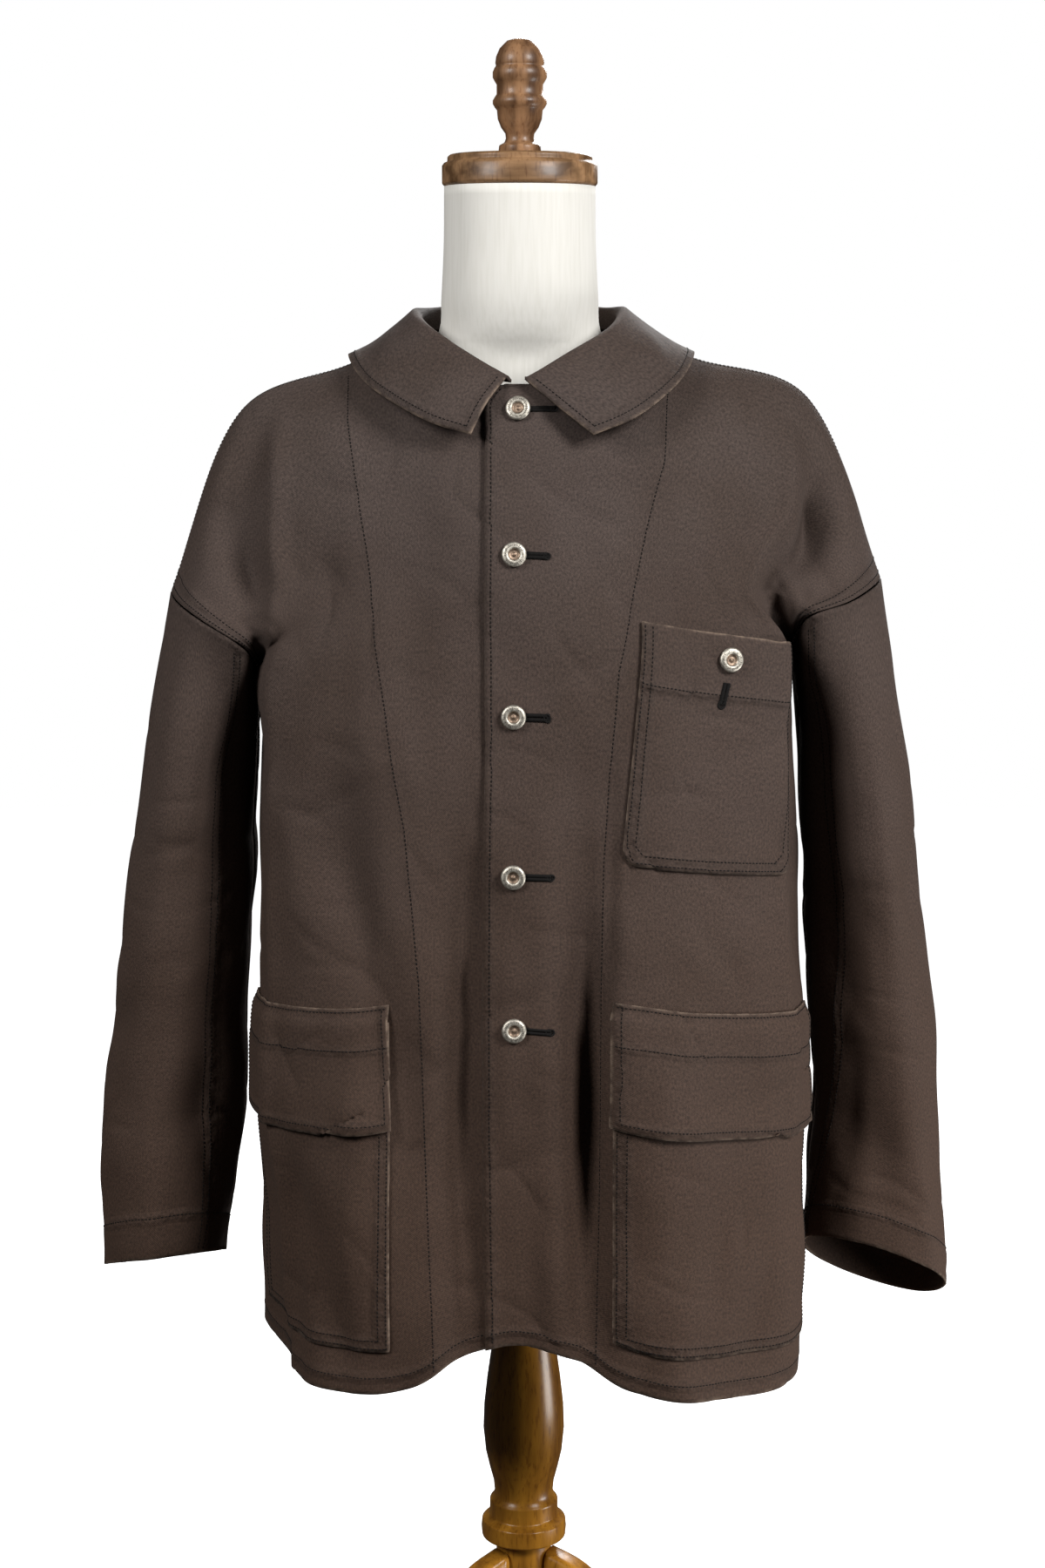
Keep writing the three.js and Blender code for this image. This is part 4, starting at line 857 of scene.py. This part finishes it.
def chest_marks(across, down):
    to_side = np.minimum(across, 1 - across) * CHEST_WIDTH
    to_edge = np.minimum(to_side, (1 - down) * CHEST_HEIGHT)
    worn, seam = edge_marks(to_edge, PATCH_WEAR, TWIN_ROWS)
    top = np.clip(1 - down * CHEST_HEIGHT / PATCH_WEAR, 0, 1)
    return np.maximum(worn * PATCH_TOP_SHARE, top), seam + pull(down * CHEST_HEIGHT - CHEST_BAND + 3, ROW_PULL)


chest_pocket = cloth_piece("chest_pocket_cloth", sheet_mesh(
    "chest_pocket_cloth", np.linspace(0, 1, 61), np.linspace(0, 1, 76), chest_place, chest_marks,
    cut=lambda across, down: (across * CHEST_WIDTH, down * CHEST_HEIGHT)), POCKET_CLOTH, "chest_pocket")

# Lower pockets: two deep patches, each under its flap.
FLAP_TOP_V, POCKET_TOP_V, FLAP_BOTTOM_V, POCKET_BOTTOM_V = 475, 488, 567, 728
POCKET_G = {"left": (96, 262), "right": (70, 243)}
FLAP_CLOTH = 1.8
FLAP_TOP_LIFT = FLAP_CLOTH + 0.2
FLAP_LIFT = POCKET_LIFT + LAY_GAP + FLAP_CLOTH + POCKET_BULGE
FLAP_ROW = 31
FLAP_STITCH = 5.5
FLAP_WEAR, FLAP_TOP_WEAR = 2.0, 1.5
FLAP_STEP = 14
FLAP_FLARE, FLAP_WAVE, FLAP_FLARE_FROM, FLAP_FLARE_TO = 1.6, 1.2, 30, 92
FLAP_ROW_DEPTH = 0.5
# A crease of the pocket under a flap shows in the flap this much higher up
FLAP_CREASE_UP = 90
WEARER = {"left": "right", "right": "left"}
# Creases of the lower pockets: from (g0, v0) to (g1, v1), half width, rise and fade
POCKET_CREASES = {
    "left": [(196, 560, 206, 760, 9, 3.0, 60), (120, 575, 132, 700, 10, 1.6, 50),
             (150, 600, 160, 740, 9, -1.2, 50)],
    "right": [(110, 575, 96, 700, 11, 1.8, 50), (180, 560, 196, 720, 12, 1.6, 60),
              (140, 600, 146, 720, 9, -1.2, 50)],
}


def patch_edge(side, bottom, g, v):
    """The distance to the nearest side or bottom edge of a pocket or flap."""
    start, end = POCKET_G[side]
    return np.minimum(np.minimum(g - start, end - g), bottom - v)


def pocket_place(side):
    def place(g, v):
        to_edge = patch_edge(side, POCKET_BOTTOM_V, g, v)
        crease = sum(fold_rise(g, v, fold) for fold in POCKET_CREASES[side])
        lift = POCKET_LIFT + (POCKET_BULGE + np.maximum(crease, -1)) * pillow(to_edge)
        return on_front(side, g, v, lift)
    return place


def flap_place(side):
    def place(g, v):
        down = v - FLAP_TOP_V
        share = smooth(0, FLAP_STEP, down)
        flare = (FLAP_FLARE + FLAP_WAVE * np.sin(g * 0.05 + 1)) * smooth(FLAP_FLARE_FROM, FLAP_FLARE_TO, down)
        row = -FLAP_ROW_DEPTH * pull(down - FLAP_ROW, ROW_PULL)
        crease = sum(fold_rise(g, v, (g0, v0 - FLAP_CREASE_UP, g1, v1 - FLAP_CREASE_UP, *rest))
                     for g0, v0, g1, v1, *rest in POCKET_CREASES[side])
        lift = FLAP_TOP_LIFT + (FLAP_LIFT + flare + np.maximum(crease, 0) + row - FLAP_TOP_LIFT) * share
        return on_front(side, g, v, lift)
    return place


def pocket_marks(side):
    def marks(g, v):
        return edge_marks(patch_edge(side, POCKET_BOTTOM_V, g, v), PATCH_WEAR, TWIN_ROWS)
    return marks


def flap_marks(side):
    def marks(g, v):
        worn, seam = edge_marks(patch_edge(side, FLAP_BOTTOM_V, g, v), FLAP_WEAR, (FLAP_STITCH,))
        down = v - FLAP_TOP_V
        top = np.clip(1 - down / FLAP_TOP_WEAR, 0, 1)
        seam = seam + pull(down - FLAP_ROW, ROW_PULL) + pull(down, SEAM_PULL)
        return np.maximum(worn, top * PATCH_TOP_SHARE), seam
    return marks


POCKETS, FLAPS = {}, {}
for side, wearer in WEARER.items():
    across = np.linspace(*POCKET_G[side], 66)
    POCKETS[side] = cloth_piece(f"pocket_{wearer}_cloth", sheet_mesh(
        f"pocket_{wearer}_cloth", across, np.linspace(POCKET_TOP_V, POCKET_BOTTOM_V, 82), pocket_place(side),
        pocket_marks(side)), POCKET_CLOTH, f"pocket_{wearer}")
    FLAPS[side] = cloth_piece(f"flap_{wearer}_cloth", sheet_mesh(
        f"flap_{wearer}_cloth", across, np.linspace(FLAP_TOP_V, FLAP_BOTTOM_V, 40), flap_place(side),
        flap_marks(side)), FLAP_CLOTH, f"flap_{wearer}")

# Stitching: rows of dark thread, one bead to a stitch, sunk a little in the cloth.
STITCH_PITCH = 3.1
STITCH_SIZE = (1.25, 0.5, 0.42)
BEAD_RISE = 0.1
dark_thread = Shading("dark_thread").surface(
    Base_Color=(0.006, 0.005, 0.0045), Roughness=0.8, Specular_IOR_Level=0.2)


def tree_of(*objects):
    """The cloth that a seam is sewn on, for finding the nearest place on it."""
    bm = bmesh.new()
    for obj in objects:
        bm.from_mesh(obj.data)
    tree = BVHTree.FromBMesh(bm)
    bm.free()
    return tree


def spaced(points, pitch):
    """Places at an even pitch along a line in metres, with the line's direction at each."""
    steps = np.linalg.norm(np.diff(points, axis=0), axis=1)
    reach = np.concatenate([[0], np.cumsum(steps)])
    at = np.arange(pitch / 2, reach[-1], pitch)
    places = np.stack([np.interp(at, reach, points[:, k]) for k in range(3)], 1)
    ahead = np.stack([np.interp(at + pitch / 4, reach, points[:, k]) for k in range(3)], 1)
    behind = np.stack([np.interp(at - pitch / 4, reach, points[:, k]) for k in range(3)], 1)
    return places, unit(ahead - behind + 1e-9)


def lay_beads(bm, places, directions, tree, size=STITCH_SIZE):
    """Lays a long thin bead on the cloth at each place."""
    for place, direction in zip(places, directions):
        spot, normal, _, _ = tree.find_nearest(Vector(place))
        along = Vector(direction)
        along = (along - normal * along.dot(normal)).normalized()
        aside = normal.cross(along)
        frame_of_bead = Matrix((along, aside, normal)).transposed().to_4x4()
        frame_of_bead.translation = spot + normal * BEAD_RISE * MM
        scale = Matrix.Diagonal((*(value * MM for value in size), 1))
        bmesh.ops.create_icosphere(bm, subdivisions=1, radius=1, matrix=frame_of_bead @ scale)


def sew(name, rows):
    """One object of all the stitches in rows: (tree, line in mm)."""
    whole = bmesh.new()
    for tree, line in rows:
        bm = bmesh.new()
        lay_beads(bm, *spaced(to_frame(line), STITCH_PITCH * MM), tree)
        mesh = mesh_from(bm, "row")
        whole.from_mesh(mesh)
        bpy.data.meshes.remove(mesh)
    return finish_piece(bpy.data.objects.new(name, mesh_from(whole, name)), dark_thread)


def run(place, a, b, count=120):
    """A line in mm over a surface, from one place on it to another."""
    share = np.linspace(0, 1, count)
    return place(a[0] + (b[0] - a[0]) * share, a[1] + (b[1] - a[1]) * share)


def runs(tree, place, corners, count=120):
    """Rows from corner to corner."""
    return [(tree, run(place, a, b, count)) for a, b in zip(corners, corners[1:])]


ARMHOLE_ROWS = (3.5, 10.5)
SHOULDER_ROW = 4.5


def front_rows(side, panel):
    tree = tree_of(panel)
    sign = -1 if side == "left" else 1
    front = lambda g, v: body("front", sign * g, v)
    v = np.linspace(22, HEM_V - 4, 240)
    free = np.linspace(6, HEM_V - 6, 240)
    rows = [(tree, on_front(side, table_line(FACING[side], v), v, 0)),
            (tree, front(-front_edge(free) + PLACKET_STITCH, free)),
            (tree, run(front, (-LAP + 3, HEM_V - HEM_STITCH), (SIDE_G - 2, HEM_V - HEM_STITCH), 240))]
    for away in ARMHOLE_ROWS:
        rows.append((tree, run(front, (SIDE_G - away, 4), (SIDE_G - away, UNDERARM_V))))
    rows.append((tree, run(front, (COLUMNS["neck"], SHOULDER_ROW), (SIDE_G - 4, SHOULDER_ROW))))
    return rows


sew("stitches_front_right", front_rows("left", front_right))
sew("stitches_front_left", front_rows("right", front_left))

back_tree = tree_of(back)
back_face = lambda g, v: body("back", g, v)
hem_row = HEM_V - HEM_STITCH
back_rows = [(back_tree, run(back_face, (-SIDE_G + 2, hem_row), (SIDE_G - 2, hem_row), 400))]
for sign in (-1, 1):
    for away in ARMHOLE_ROWS:
        g = sign * (SIDE_G - away)
        back_rows.append((back_tree, run(back_face, (g, 4), (g, HEM_V - 4), 260)))
    for v in (4, 10.5):
        start, end = sign * COLUMNS["neck"], sign * (SIDE_G - 12)
        back_rows.append((back_tree, run(back_face, (start, v), (end, v))))
sew("stitches_back", back_rows)

UNDER_ROWS_APART = 0.018
sleeve_rows = []
for side, obj in SLEEVES.items():
    tree = tree_of(obj)
    length = SLEEVE_RINGS[side][-1][0]
    round_cuff = np.linspace(0, 1, 200)
    sleeve_rows.append((tree, sleeve(side, round_cuff, np.full(200, float(length - CUFF_HEM)))))
    along = np.linspace(8, length - 3, 200)
    for apart in (0, UNDER_ROWS_APART):
        sleeve_rows.append((tree, sleeve(side, table_line(UNDER_SEAM[side], along) + apart, along)))
sew("stitches_sleeves", sleeve_rows)

collar_tree = tree_of(collar_cloth)
inset_s = COLLAR_STITCH / LEAF_LENGTH * (1 - LEAF_FROM)
inset_t = COLLAR_STITCH / COLLAR_ROW_LENGTH
row_start, row_edge = LEAF_FROM + 0.03, 1 - inset_s
collar_rows = [(collar_tree, run(collar, (inset_t, row_edge), (COLLAR_END - inset_t, row_edge), 500))]
for t in (inset_t, COLLAR_END - inset_t):
    collar_rows.append((collar_tree, run(collar, (t, row_start), (t, row_edge))))
sew("stitches_collar", collar_rows)

# Behind its flap a pocket's rows start this far down
ROWS_DOWN = 60
pocket_rows = []
for side in WEARER:
    start, end = POCKET_G[side]
    patch_tree, flap_tree = tree_of(POCKETS[side]), tree_of(FLAPS[side])
    patch, flap = pocket_place(side), flap_place(side)
    sewn = ((patch_tree, patch, POCKET_TOP_V + ROWS_DOWN, POCKET_BOTTOM_V, TWIN_ROWS),
            (flap_tree, flap, FLAP_TOP_V + 3, FLAP_BOTTOM_V, (FLAP_STITCH,)))
    for tree, place, top, bottom, insets in sewn:
        for inset in insets:
            pocket_rows += runs(tree, place, [(start + inset, top), (start + inset, bottom - inset),
                                              (end - inset, bottom - inset), (end - inset, top)])
    for down in (3, FLAP_ROW):
        pocket_rows += runs(flap_tree, flap, [(start + 2, FLAP_TOP_V + down), (end - 2, FLAP_TOP_V + down)])
CHEST_TURN, CHEST_TURN_UP = 7 / CHEST_WIDTH, 0.04
chest_tree = tree_of(chest_pocket)
for inset in TWIN_ROWS:
    at, low = inset / CHEST_WIDTH, 1 - inset / CHEST_HEIGHT
    corners = [(at, 0.01), (at, low - CHEST_TURN_UP), (at + CHEST_TURN, low), (1 - at - CHEST_TURN, low),
               (1 - at, low - CHEST_TURN_UP), (1 - at, 0.01)]
    pocket_rows += runs(chest_tree, chest_place, corners, 60)
band_row = (CHEST_BAND - 4) / CHEST_HEIGHT
pocket_rows += runs(chest_tree, chest_place, [(0.01, band_row), (0.99, band_row)])
sew("stitches_pockets", pocket_rows)

# Buttons: cast metal rings with a dished coppery middle and a ring of small ticks.
BUTTON_G = 1.5
BUTTON_Z = [-50, -152, -267, -382, -494]
POCKET_BUTTON = (160, -229)
BUTTON_RIM = [(0, 0.2), (7.6, 0.2), (8.7, 0.9), (9.0, 1.9), (8.8, 2.8), (8.2, 3.4), (7.4, 3.75), (5.4, 4.0),
              (4.7, 3.8), (4.3, 3.2), (4.1, 2.5)]
BUTTON_DISH = [(4.1, 2.5), (3.4, 2.1), (2.3, 1.9), (1.5, 2.0), (1.1, 2.4), (0, 2.5)]
BUTTON_STEPS = 48
TICKS = 34
TICK_AT, TICK_Z = 6.5, 3.76
TICK_LONG, TICK_SHORT, TICK_WIDE, TICK_HIGH = 1.6, 0.9, 0.45, 0.4
TARNISH = 0.45


def metal_material(name, colour, roughness, spots):
    s = Shading(name)
    cast = s.ramp(s.noise(spots, 4), (0.35, [c * TARNISH for c in colour]), (0.62, colour))
    return s.surface(Base_Color=cast, Metallic=0.9, Roughness=roughness)


antique_silver = metal_material("antique_silver", (0.68, 0.63, 0.54), 0.5, 700)
dull_copper = metal_material("dull_copper", (0.36, 0.26, 0.19), 0.5, 900)
tick_shadow = metal_material("tick_shadow", (0.09, 0.075, 0.06), 0.6, 900)


def lathe(bm, profile, steps, material=0):
    """Turns a profile of (radius, height) round the Z axis."""
    verts = [bm.verts.new((r * MM, 0, h * MM)) for r, h in profile]
    edges = [bm.edges.new(pair) for pair in zip(verts, verts[1:])]
    before = set(bm.faces)
    bmesh.ops.spin(bm, geom=verts + edges, cent=(0, 0, 0), axis=(0, 0, 1), angle=math.tau, steps=steps,
                   use_merge=True)
    for face in bm.faces:
        if face not in before:
            face.material_index = material


def button_mesh(name, place, normal):
    bm = bmesh.new()
    lathe(bm, BUTTON_RIM, BUTTON_STEPS)
    lathe(bm, BUTTON_DISH, BUTTON_STEPS, 1)
    for k in range(TICKS):
        turn = Matrix.Rotation(math.tau * k / TICKS, 4, "Z")
        turn = turn @ Matrix.Translation((TICK_AT * MM, 0, TICK_Z * MM))
        size = Matrix.Diagonal((TICK_SHORT if k % 3 else TICK_LONG, TICK_WIDE, TICK_HIGH, 1))
        before = set(bm.faces)
        bmesh.ops.create_cube(bm, size=MM, matrix=turn @ size)
        for face in bm.faces:
            if face not in before:
                face.material_index = 2
    join_doubles(bm, 1e-6)
    face_out(bm)
    frame_of_button = Vector((0, 0, 1)).rotation_difference(Vector(normal)).to_matrix().to_4x4()
    frame_of_button.translation = Vector(place)
    bm.transform(frame_of_button)
    mesh = mesh_from(bm, name)
    # The ticks' small square sides stay flat
    mesh.polygons.foreach_set("use_smooth", [len(p.vertices) != 4 or p.area > 1e-7 for p in mesh.polygons])
    return mesh


def add_button(node, side, g, z, lift):
    level = level_at(side, np.array([g]), np.array([float(z)]))
    at = lambda height: to_frame(on_front(side, np.array([g]), level, height))[0]
    normal = Vector(at(5.0) - at(0.0)).normalized()
    obj = finish_piece(bpy.data.objects.new(f"{node}_cast", button_mesh(f"{node}_cast", at(lift), normal)),
                       antique_silver)
    obj.data.materials.append(dull_copper)
    obj.data.materials.append(tick_shadow)
    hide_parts(node)
    return float(level[0])


BUTTON_LIFT = LAY_GAP
POCKET_BUTTON_LIFT = POCKET_LIFT + POCKET_BULGE + 2.9
button_levels = [add_button(f"button_{i + 1}", "right", BUTTON_G, z, BUTTON_LIFT)
                 for i, z in enumerate(BUTTON_Z)]
add_button("pocket_button", "right", *POCKET_BUTTON, POCKET_BUTTON_LIFT)

# Buttonholes: keyhole slots worked over in thick black thread, running out past each button.
HOLE_START, HOLE_REACH = 5, 24
HOLE_APART = 1.3
HOLE_EYE = 2.3
HOLE_PITCH = 0.75
HOLE_BEAD, EYE_BEAD = (1.9, 0.55, 1.3), (0.9, 0.8, 1.3)
BAR_REACH, BAR_STEPS, BAR_PITCH, BAR_BEAD = 2.6, (0, 0.8, 1.6), 1.1, (1.0, 0.5, 0.7)
CHEST_HOLE = ((0.5, 0.2), (0.487, 0.29))
front_tree = tree_of(front_left)


def work_hole(bm, tree, place, start, end, across):
    """Two rows of thread side by side along a slot, an eye at its end and a bar over that. across is the
    step of 1 mm to the slot's side."""
    start, end, across = (np.array(pair, float) for pair in (start, end, across))
    for offset in (-HOLE_APART, HOLE_APART):
        a, b = start + across * offset, end + across * offset
        places, _ = spaced(to_frame(run(place, a, b)), HOLE_PITCH * MM)
        aside = to_frame(run(place, a + across, b + across))
        side_way = unit(np.repeat((aside.mean(0) - places.mean(0))[None], len(places), 0))
        lay_beads(bm, places, side_way, tree, HOLE_BEAD)
    circle = np.linspace(0, math.tau, 40)[:, None]
    ahead = (end - start) * np.linalg.norm(across) / np.linalg.norm(end - start)
    eye = end + HOLE_EYE * (across * np.sin(circle) + ahead * np.cos(circle))
    lay_beads(bm, *spaced(to_frame(place(eye[:, 0], eye[:, 1])), HOLE_PITCH * MM), tree, EYE_BEAD)
    for shift in BAR_STEPS:
        middle = end + across[::-1] * shift
        bar = run(place, middle - across * BAR_REACH, middle + across * BAR_REACH)
        lay_beads(bm, *spaced(to_frame(bar), BAR_PITCH * MM), tree, BAR_BEAD)


bm = bmesh.new()
front_flat = lambda g, v: on_front("right", g, v, 0)
for level in button_levels:
    start, end = (BUTTON_G + HOLE_START, level), (BUTTON_G + HOLE_REACH, level)
    work_hole(bm, front_tree, front_flat, start, end, (0, 1))
work_hole(bm, chest_tree, chest_place, *CHEST_HOLE, (1 / CHEST_WIDTH, 0))
buttonholes = bpy.data.objects.new("buttonholes", mesh_from(bm, "buttonholes"))
finish_piece(buttonholes, dark_thread)

# Dress form: a limbless torso and neck under plain off-white linen.
FORM_X = -2
FORM_ROUNDNESS = 2.3
FORM_INSET = 0.6
NECK_ROUNDS = (-40, 20)
FORM_RINGS = [
    # z, half, depth, y
    (-660, 148, 98, 4), (-600, 158, 106, 4), (-500, 156, 103, 2), (-400, 138, 90, -4), (-330, 131, 85, -6),
    (-230, 148, 98, -8), (-150, 168, 100, -4), (-100, 188, 82, 0), (-66.4, 194, 65, 0), (-54, 189, 54, 0),
    (-42, 172, 45, 0), (-29, 143, 41, 0), (-16, 107, 41, 0), (-8, 74, 43, 0), (6, 61.5, 51, 0),
    (30, 59.5, 57, 0), (70, 57.5, 57.5, 0), (112.7, 57, 57, 0)]


def form_place(turn, z):
    angle = turn * math.tau
    bend = lambda value: np.sign(value) * np.abs(value) ** (2 / FORM_ROUNDNESS)
    points = []
    for height, half, depth, y in FORM_RINGS:
        x = FORM_X + (half - FORM_INSET) * bend(np.cos(angle))
        deep = y + (depth - FORM_INSET) * bend(np.sin(angle))
        points.append(np.stack([x, deep, np.full(len(turn), height)], 1))
    knots = np.array([ring[0] for ring in FORM_RINGS])
    i = np.clip(np.searchsorted(knots, z) - 1, 0, len(knots) - 2)
    share = ((z - knots[i]) / (knots[i + 1] - knots[i]))[:, None]
    stack, m = np.stack(points), np.arange(len(turn))
    straight = stack[i, m] * (1 - share) + stack[i + 1, m] * share
    curved = through(knots, stack, z)
    rounder = smooth(*NECK_ROUNDS, z)[:, None]
    return curved * rounder + straight * (1 - rounder)


def linen_material():
    """Close off-white linen with fine upright slubs, pulled smooth over padding."""
    s = Shading("form_linen")
    slubs = s.noise(420, 3, stretch=(1, 1, 0.06))
    colour = s.ramp(slubs, (0.3, (0.665, 0.645, 0.59)), (0.6, (0.71, 0.69, 0.64)))
    return s.surface(Base_Color=colour, Roughness=0.95, Normal=s.bump(slubs, 0.15, 0.0004))


mesh = sheet_mesh("form_cover", np.linspace(0, 1, 97), np.linspace(FORM_RINGS[0][0], FORM_RINGS[-1][0], 110),
                  form_place, joined=True)
rework(mesh, fill_ends, face_out)
form_cover = finish_piece(bpy.data.objects.new("form_cover", mesh), linen_material())
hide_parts("torso_form")

# Turned wood: the cap and its finial on the neck, the pole under the form and the hub of the legs.
CAP_PROFILE = [(0, 113), (56, 113), (58, 115), (58, 128), (56.5, 130), (54, 131), (54, 134.5), (52, 136),
               (0, 136)]
FINIAL_PROFILE = [(0, 136.3), (15, 136.3), (15.8, 139), (15.4, 143), (11.5, 145), (10.4, 148), (10.8, 151.5),
                  (14, 156), (16.4, 162), (17, 168.5), (18.6, 170.4), (20.1, 173), (20.1, 175.5), (18.4, 178.3),
                  (17.2, 180), (17.2, 187), (18.6, 189.2), (20.1, 192), (20.1, 196), (18.8, 199), (17.6, 200.4),
                  (18.2, 202.5), (17.6, 207), (15, 213), (9.5, 218.5), (0, 221)]
POLE_X = 1
POLE_PROFILE = [(0, -950), (30, -950), (33.4, -948), (34, -941), (33.4, -934.5), (30, -932.5), (27.6, -930.5),
                (27.2, -924), (27.2, -918), (24.4, -914.5), (23.3, -911), (24.2, -902), (27.4, -890),
                (30.4, -877), (32.3, -858), (31.6, -838), (29.2, -816), (25.8, -792), (22.8, -768),
                (21.3, -740), (21, -700),
                (21, -662), (20, -660.3), (0, -660.3)]
HUB_PROFILE = [(0, -1062), (16, -1062), (19.5, -1060), (21.5, -1056), (22, -1050), (22, -953), (21.5, -950.6),
               (0, -950.3)]
TURNED_STEPS = 96
EDGE_WEAR, EDGE_ANGLE = 0.8, math.radians(38)


def wood_material(name, dark, light, gloss, grain):
    """Stained and varnished hardwood, its grain upright, with small dark pores."""
    s = Shading(name)
    stain = s.ramp(s.noise(90, 5, stretch=grain), (0.34, dark), (0.66, light))
    pores = s.ramp(s.noise(520, 2, stretch=(1, 1, 0.16)), (0.33, (0.7, 0.64, 0.6)), (0.46, (1, 1, 1)))
    return s.surface(Base_Color=s.mix(1, stain, pores, "MULTIPLY"), Roughness=gloss, Specular_IOR_Level=0.3,
                     Coat_Weight=0.12, Coat_Roughness=0.18)


walnut = wood_material("walnut", (0.085, 0.04, 0.018), (0.31, 0.165, 0.08), 0.42, (1, 1, 0.18))
cap_walnut = wood_material("cap_walnut", (0.09, 0.045, 0.018), (0.31, 0.175, 0.085), 0.42, (0.12, 1, 1))
amber_wood = wood_material("amber_wood", (0.2, 0.078, 0.008), (0.44, 0.195, 0.02), 0.3, (1, 1, 0.1))


def turned_piece(node, profile, x, material):
    bm = bmesh.new()
    lathe(bm, profile, TURNED_STEPS)
    join_doubles(bm, 1e-6)
    face_out(bm)
    bmesh.ops.translate(bm, verts=bm.verts, vec=(x * MM, STAND_Y, NECK_Z))
    mesh = mesh_from(bm, f"{node}_turned")
    mesh.set_sharp_from_angle(angle=EDGE_ANGLE)
    obj = finish_piece(bpy.data.objects.new(f"{node}_turned", mesh), material)
    edge = obj.modifiers.new("worn_edges", "BEVEL")
    edge.width = EDGE_WEAR * MM
    edge.segments = 3
    edge.limit_method = "ANGLE"
    edge.angle_limit = EDGE_ANGLE
    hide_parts(node)
    return obj


turned_piece("neck_cap", CAP_PROFILE, FORM_X, cap_walnut)
turned_piece("finial", FINIAL_PROFILE, FORM_X, walnut)
turned_piece("pole", POLE_PROFILE, POLE_X, amber_wood)
turned_piece("hub", HUB_PROFILE, POLE_X, amber_wood)

# Legs: three bowed legs with rounded edges, each spreading from the hub to a flat foot.
LEG_TURNS = [-53, 67, 187]
LEG_ROWS = [
    # out, z, tall, wide, pitch
    (22.6, 366, 54, 24, 0), (46, 354, 52, 26, 32), (84, 318, 46, 26, 50), (124, 256, 40, 25, 62),
    (152, 190, 34, 24, 68), (178, 122, 30, 23, 64), (206, 68, 28, 24, 58), (232, 30, 32, 27, 66),
    (246, 0, 40, 32, 90)]
LEG_SQUARENESS = 5
LEG_INSET = 0.4


def leg_place(turn, row):
    knots = range(len(LEG_ROWS))
    spread = lambda p: np.repeat(np.asarray(p, float)[None], len(turn), 0)
    middle = through(knots, np.stack([spread((out, z, 0)) for out, z, *_ in LEG_ROWS]), row)
    size = through(knots, np.stack([spread((tall, wide, pitch)) for *_, tall, wide, pitch in LEG_ROWS]), row)
    angle = turn * math.tau
    bend = lambda value: np.sign(value) * np.abs(value) ** (2 / LEG_SQUARENESS)
    up = bend(np.cos(angle)) * (size[:, 0] / 2 - LEG_INSET)
    aside = bend(np.sin(angle)) * (size[:, 1] / 2 - LEG_INSET)
    pitch = np.radians(size[:, 2])
    return np.stack([middle[:, 0] + np.sin(pitch) * up, aside, middle[:, 1] + np.cos(pitch) * up], 1)


for i, degrees in enumerate(LEG_TURNS):
    way = math.radians(degrees - 90)

    def leg_in_place(turn, row, way=way):
        p = leg_place(turn, row)
        x = POLE_X + p[:, 0] * math.cos(way) - p[:, 1] * math.sin(way)
        y = p[:, 0] * math.sin(way) + p[:, 1] * math.cos(way)
        return np.stack([x, y, np.maximum(p[:, 2], 0) - NECK_Z / MM], 1)

    mesh = sheet_mesh(f"leg_{i + 1}_bowed", np.linspace(0, 1, 49), np.linspace(0, len(LEG_ROWS) - 1, 64),
                      leg_in_place, joined=True)
    rework(mesh, fill_ends, face_out)
    leg = finish_piece(bpy.data.objects.new(f"leg_{i + 1}_bowed", mesh), amber_wood)
    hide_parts(f"leg_{i + 1}")

# Floor: a wide round white floor that glows towards its rim, so it runs into the white room unseen.
FLOOR_RADIUS = 6
FLOOR_GLOW = (0.45, 1.1)
bm = bmesh.new()
bmesh.ops.create_circle(bm, cap_ends=True, segments=128, radius=FLOOR_RADIUS)
floor = bpy.data.objects.new("floor", mesh_from(bm, "floor"))
bpy.context.collection.objects.link(floor)
white = Shading("white_paper")
away = white.node("VectorMath")
away.operation = "LENGTH"
white.put(away.inputs[0], white.place())
glow = white.node("MapRange", Value=away.outputs["Value"], From_Min=FLOOR_GLOW[0], From_Max=FLOOR_GLOW[1])
floor.data.materials.append(white.surface(
    Base_Color=(0.8, 0.8, 0.8), Roughness=0.9, Emission_Color=(1, 1, 1), Emission_Strength=glow.outputs[0]))

# Light: two soft boxes, left and right of the camera and above it, a weaker one behind and one low down.
# The floor and the white room are seen but light almost nothing, so the hollows of the cloth stay dark.
ROOM_LIGHT, ROOM_WHITE = 0.035, 1.0
floor.visible_diffuse = False
floor.visible_glossy = False
world = bpy.data.worlds.new("studio")
bpy.context.scene.world = world
world.use_nodes = True
nodes, links = world.node_tree.nodes, world.node_tree.links
nodes["Background"].inputs["Color"].default_value = (1, 1, 1, 1)
ray = nodes.new("ShaderNodeLightPath")
seen = nodes.new("ShaderNodeMapRange")
seen.inputs["To Min"].default_value = ROOM_LIGHT
seen.inputs["To Max"].default_value = ROOM_WHITE
links.new(ray.outputs["Is Camera Ray"], seen.inputs["Value"])
links.new(seen.outputs[0], nodes["Background"].inputs["Strength"])


def soft_box(name, place, size, power, aim=(0, 0, 1.0)):
    light = bpy.data.lights.new(name, "AREA")
    light.shape = "RECTANGLE"
    light.size, light.size_y = size
    light.energy = power
    obj = bpy.data.objects.new(name, light)
    obj.location = place
    obj.rotation_euler = (Vector(place) - Vector(aim)).to_track_quat("Z", "Y").to_euler()
    bpy.context.collection.objects.link(obj)


soft_box("right", (1.75, -1.75, 2.5), (0.9, 1.1), 86)
soft_box("left", (-1.8, -1.75, 2.5), (0.9, 1.1), 58)
soft_box("behind", (0.5, 2.3, 2.3), (1.2, 0.8), 60)
soft_box("low", (1.4, -0.35, 0.3), (0.6, 0.4), 12, aim=(0, 0, 0.45))
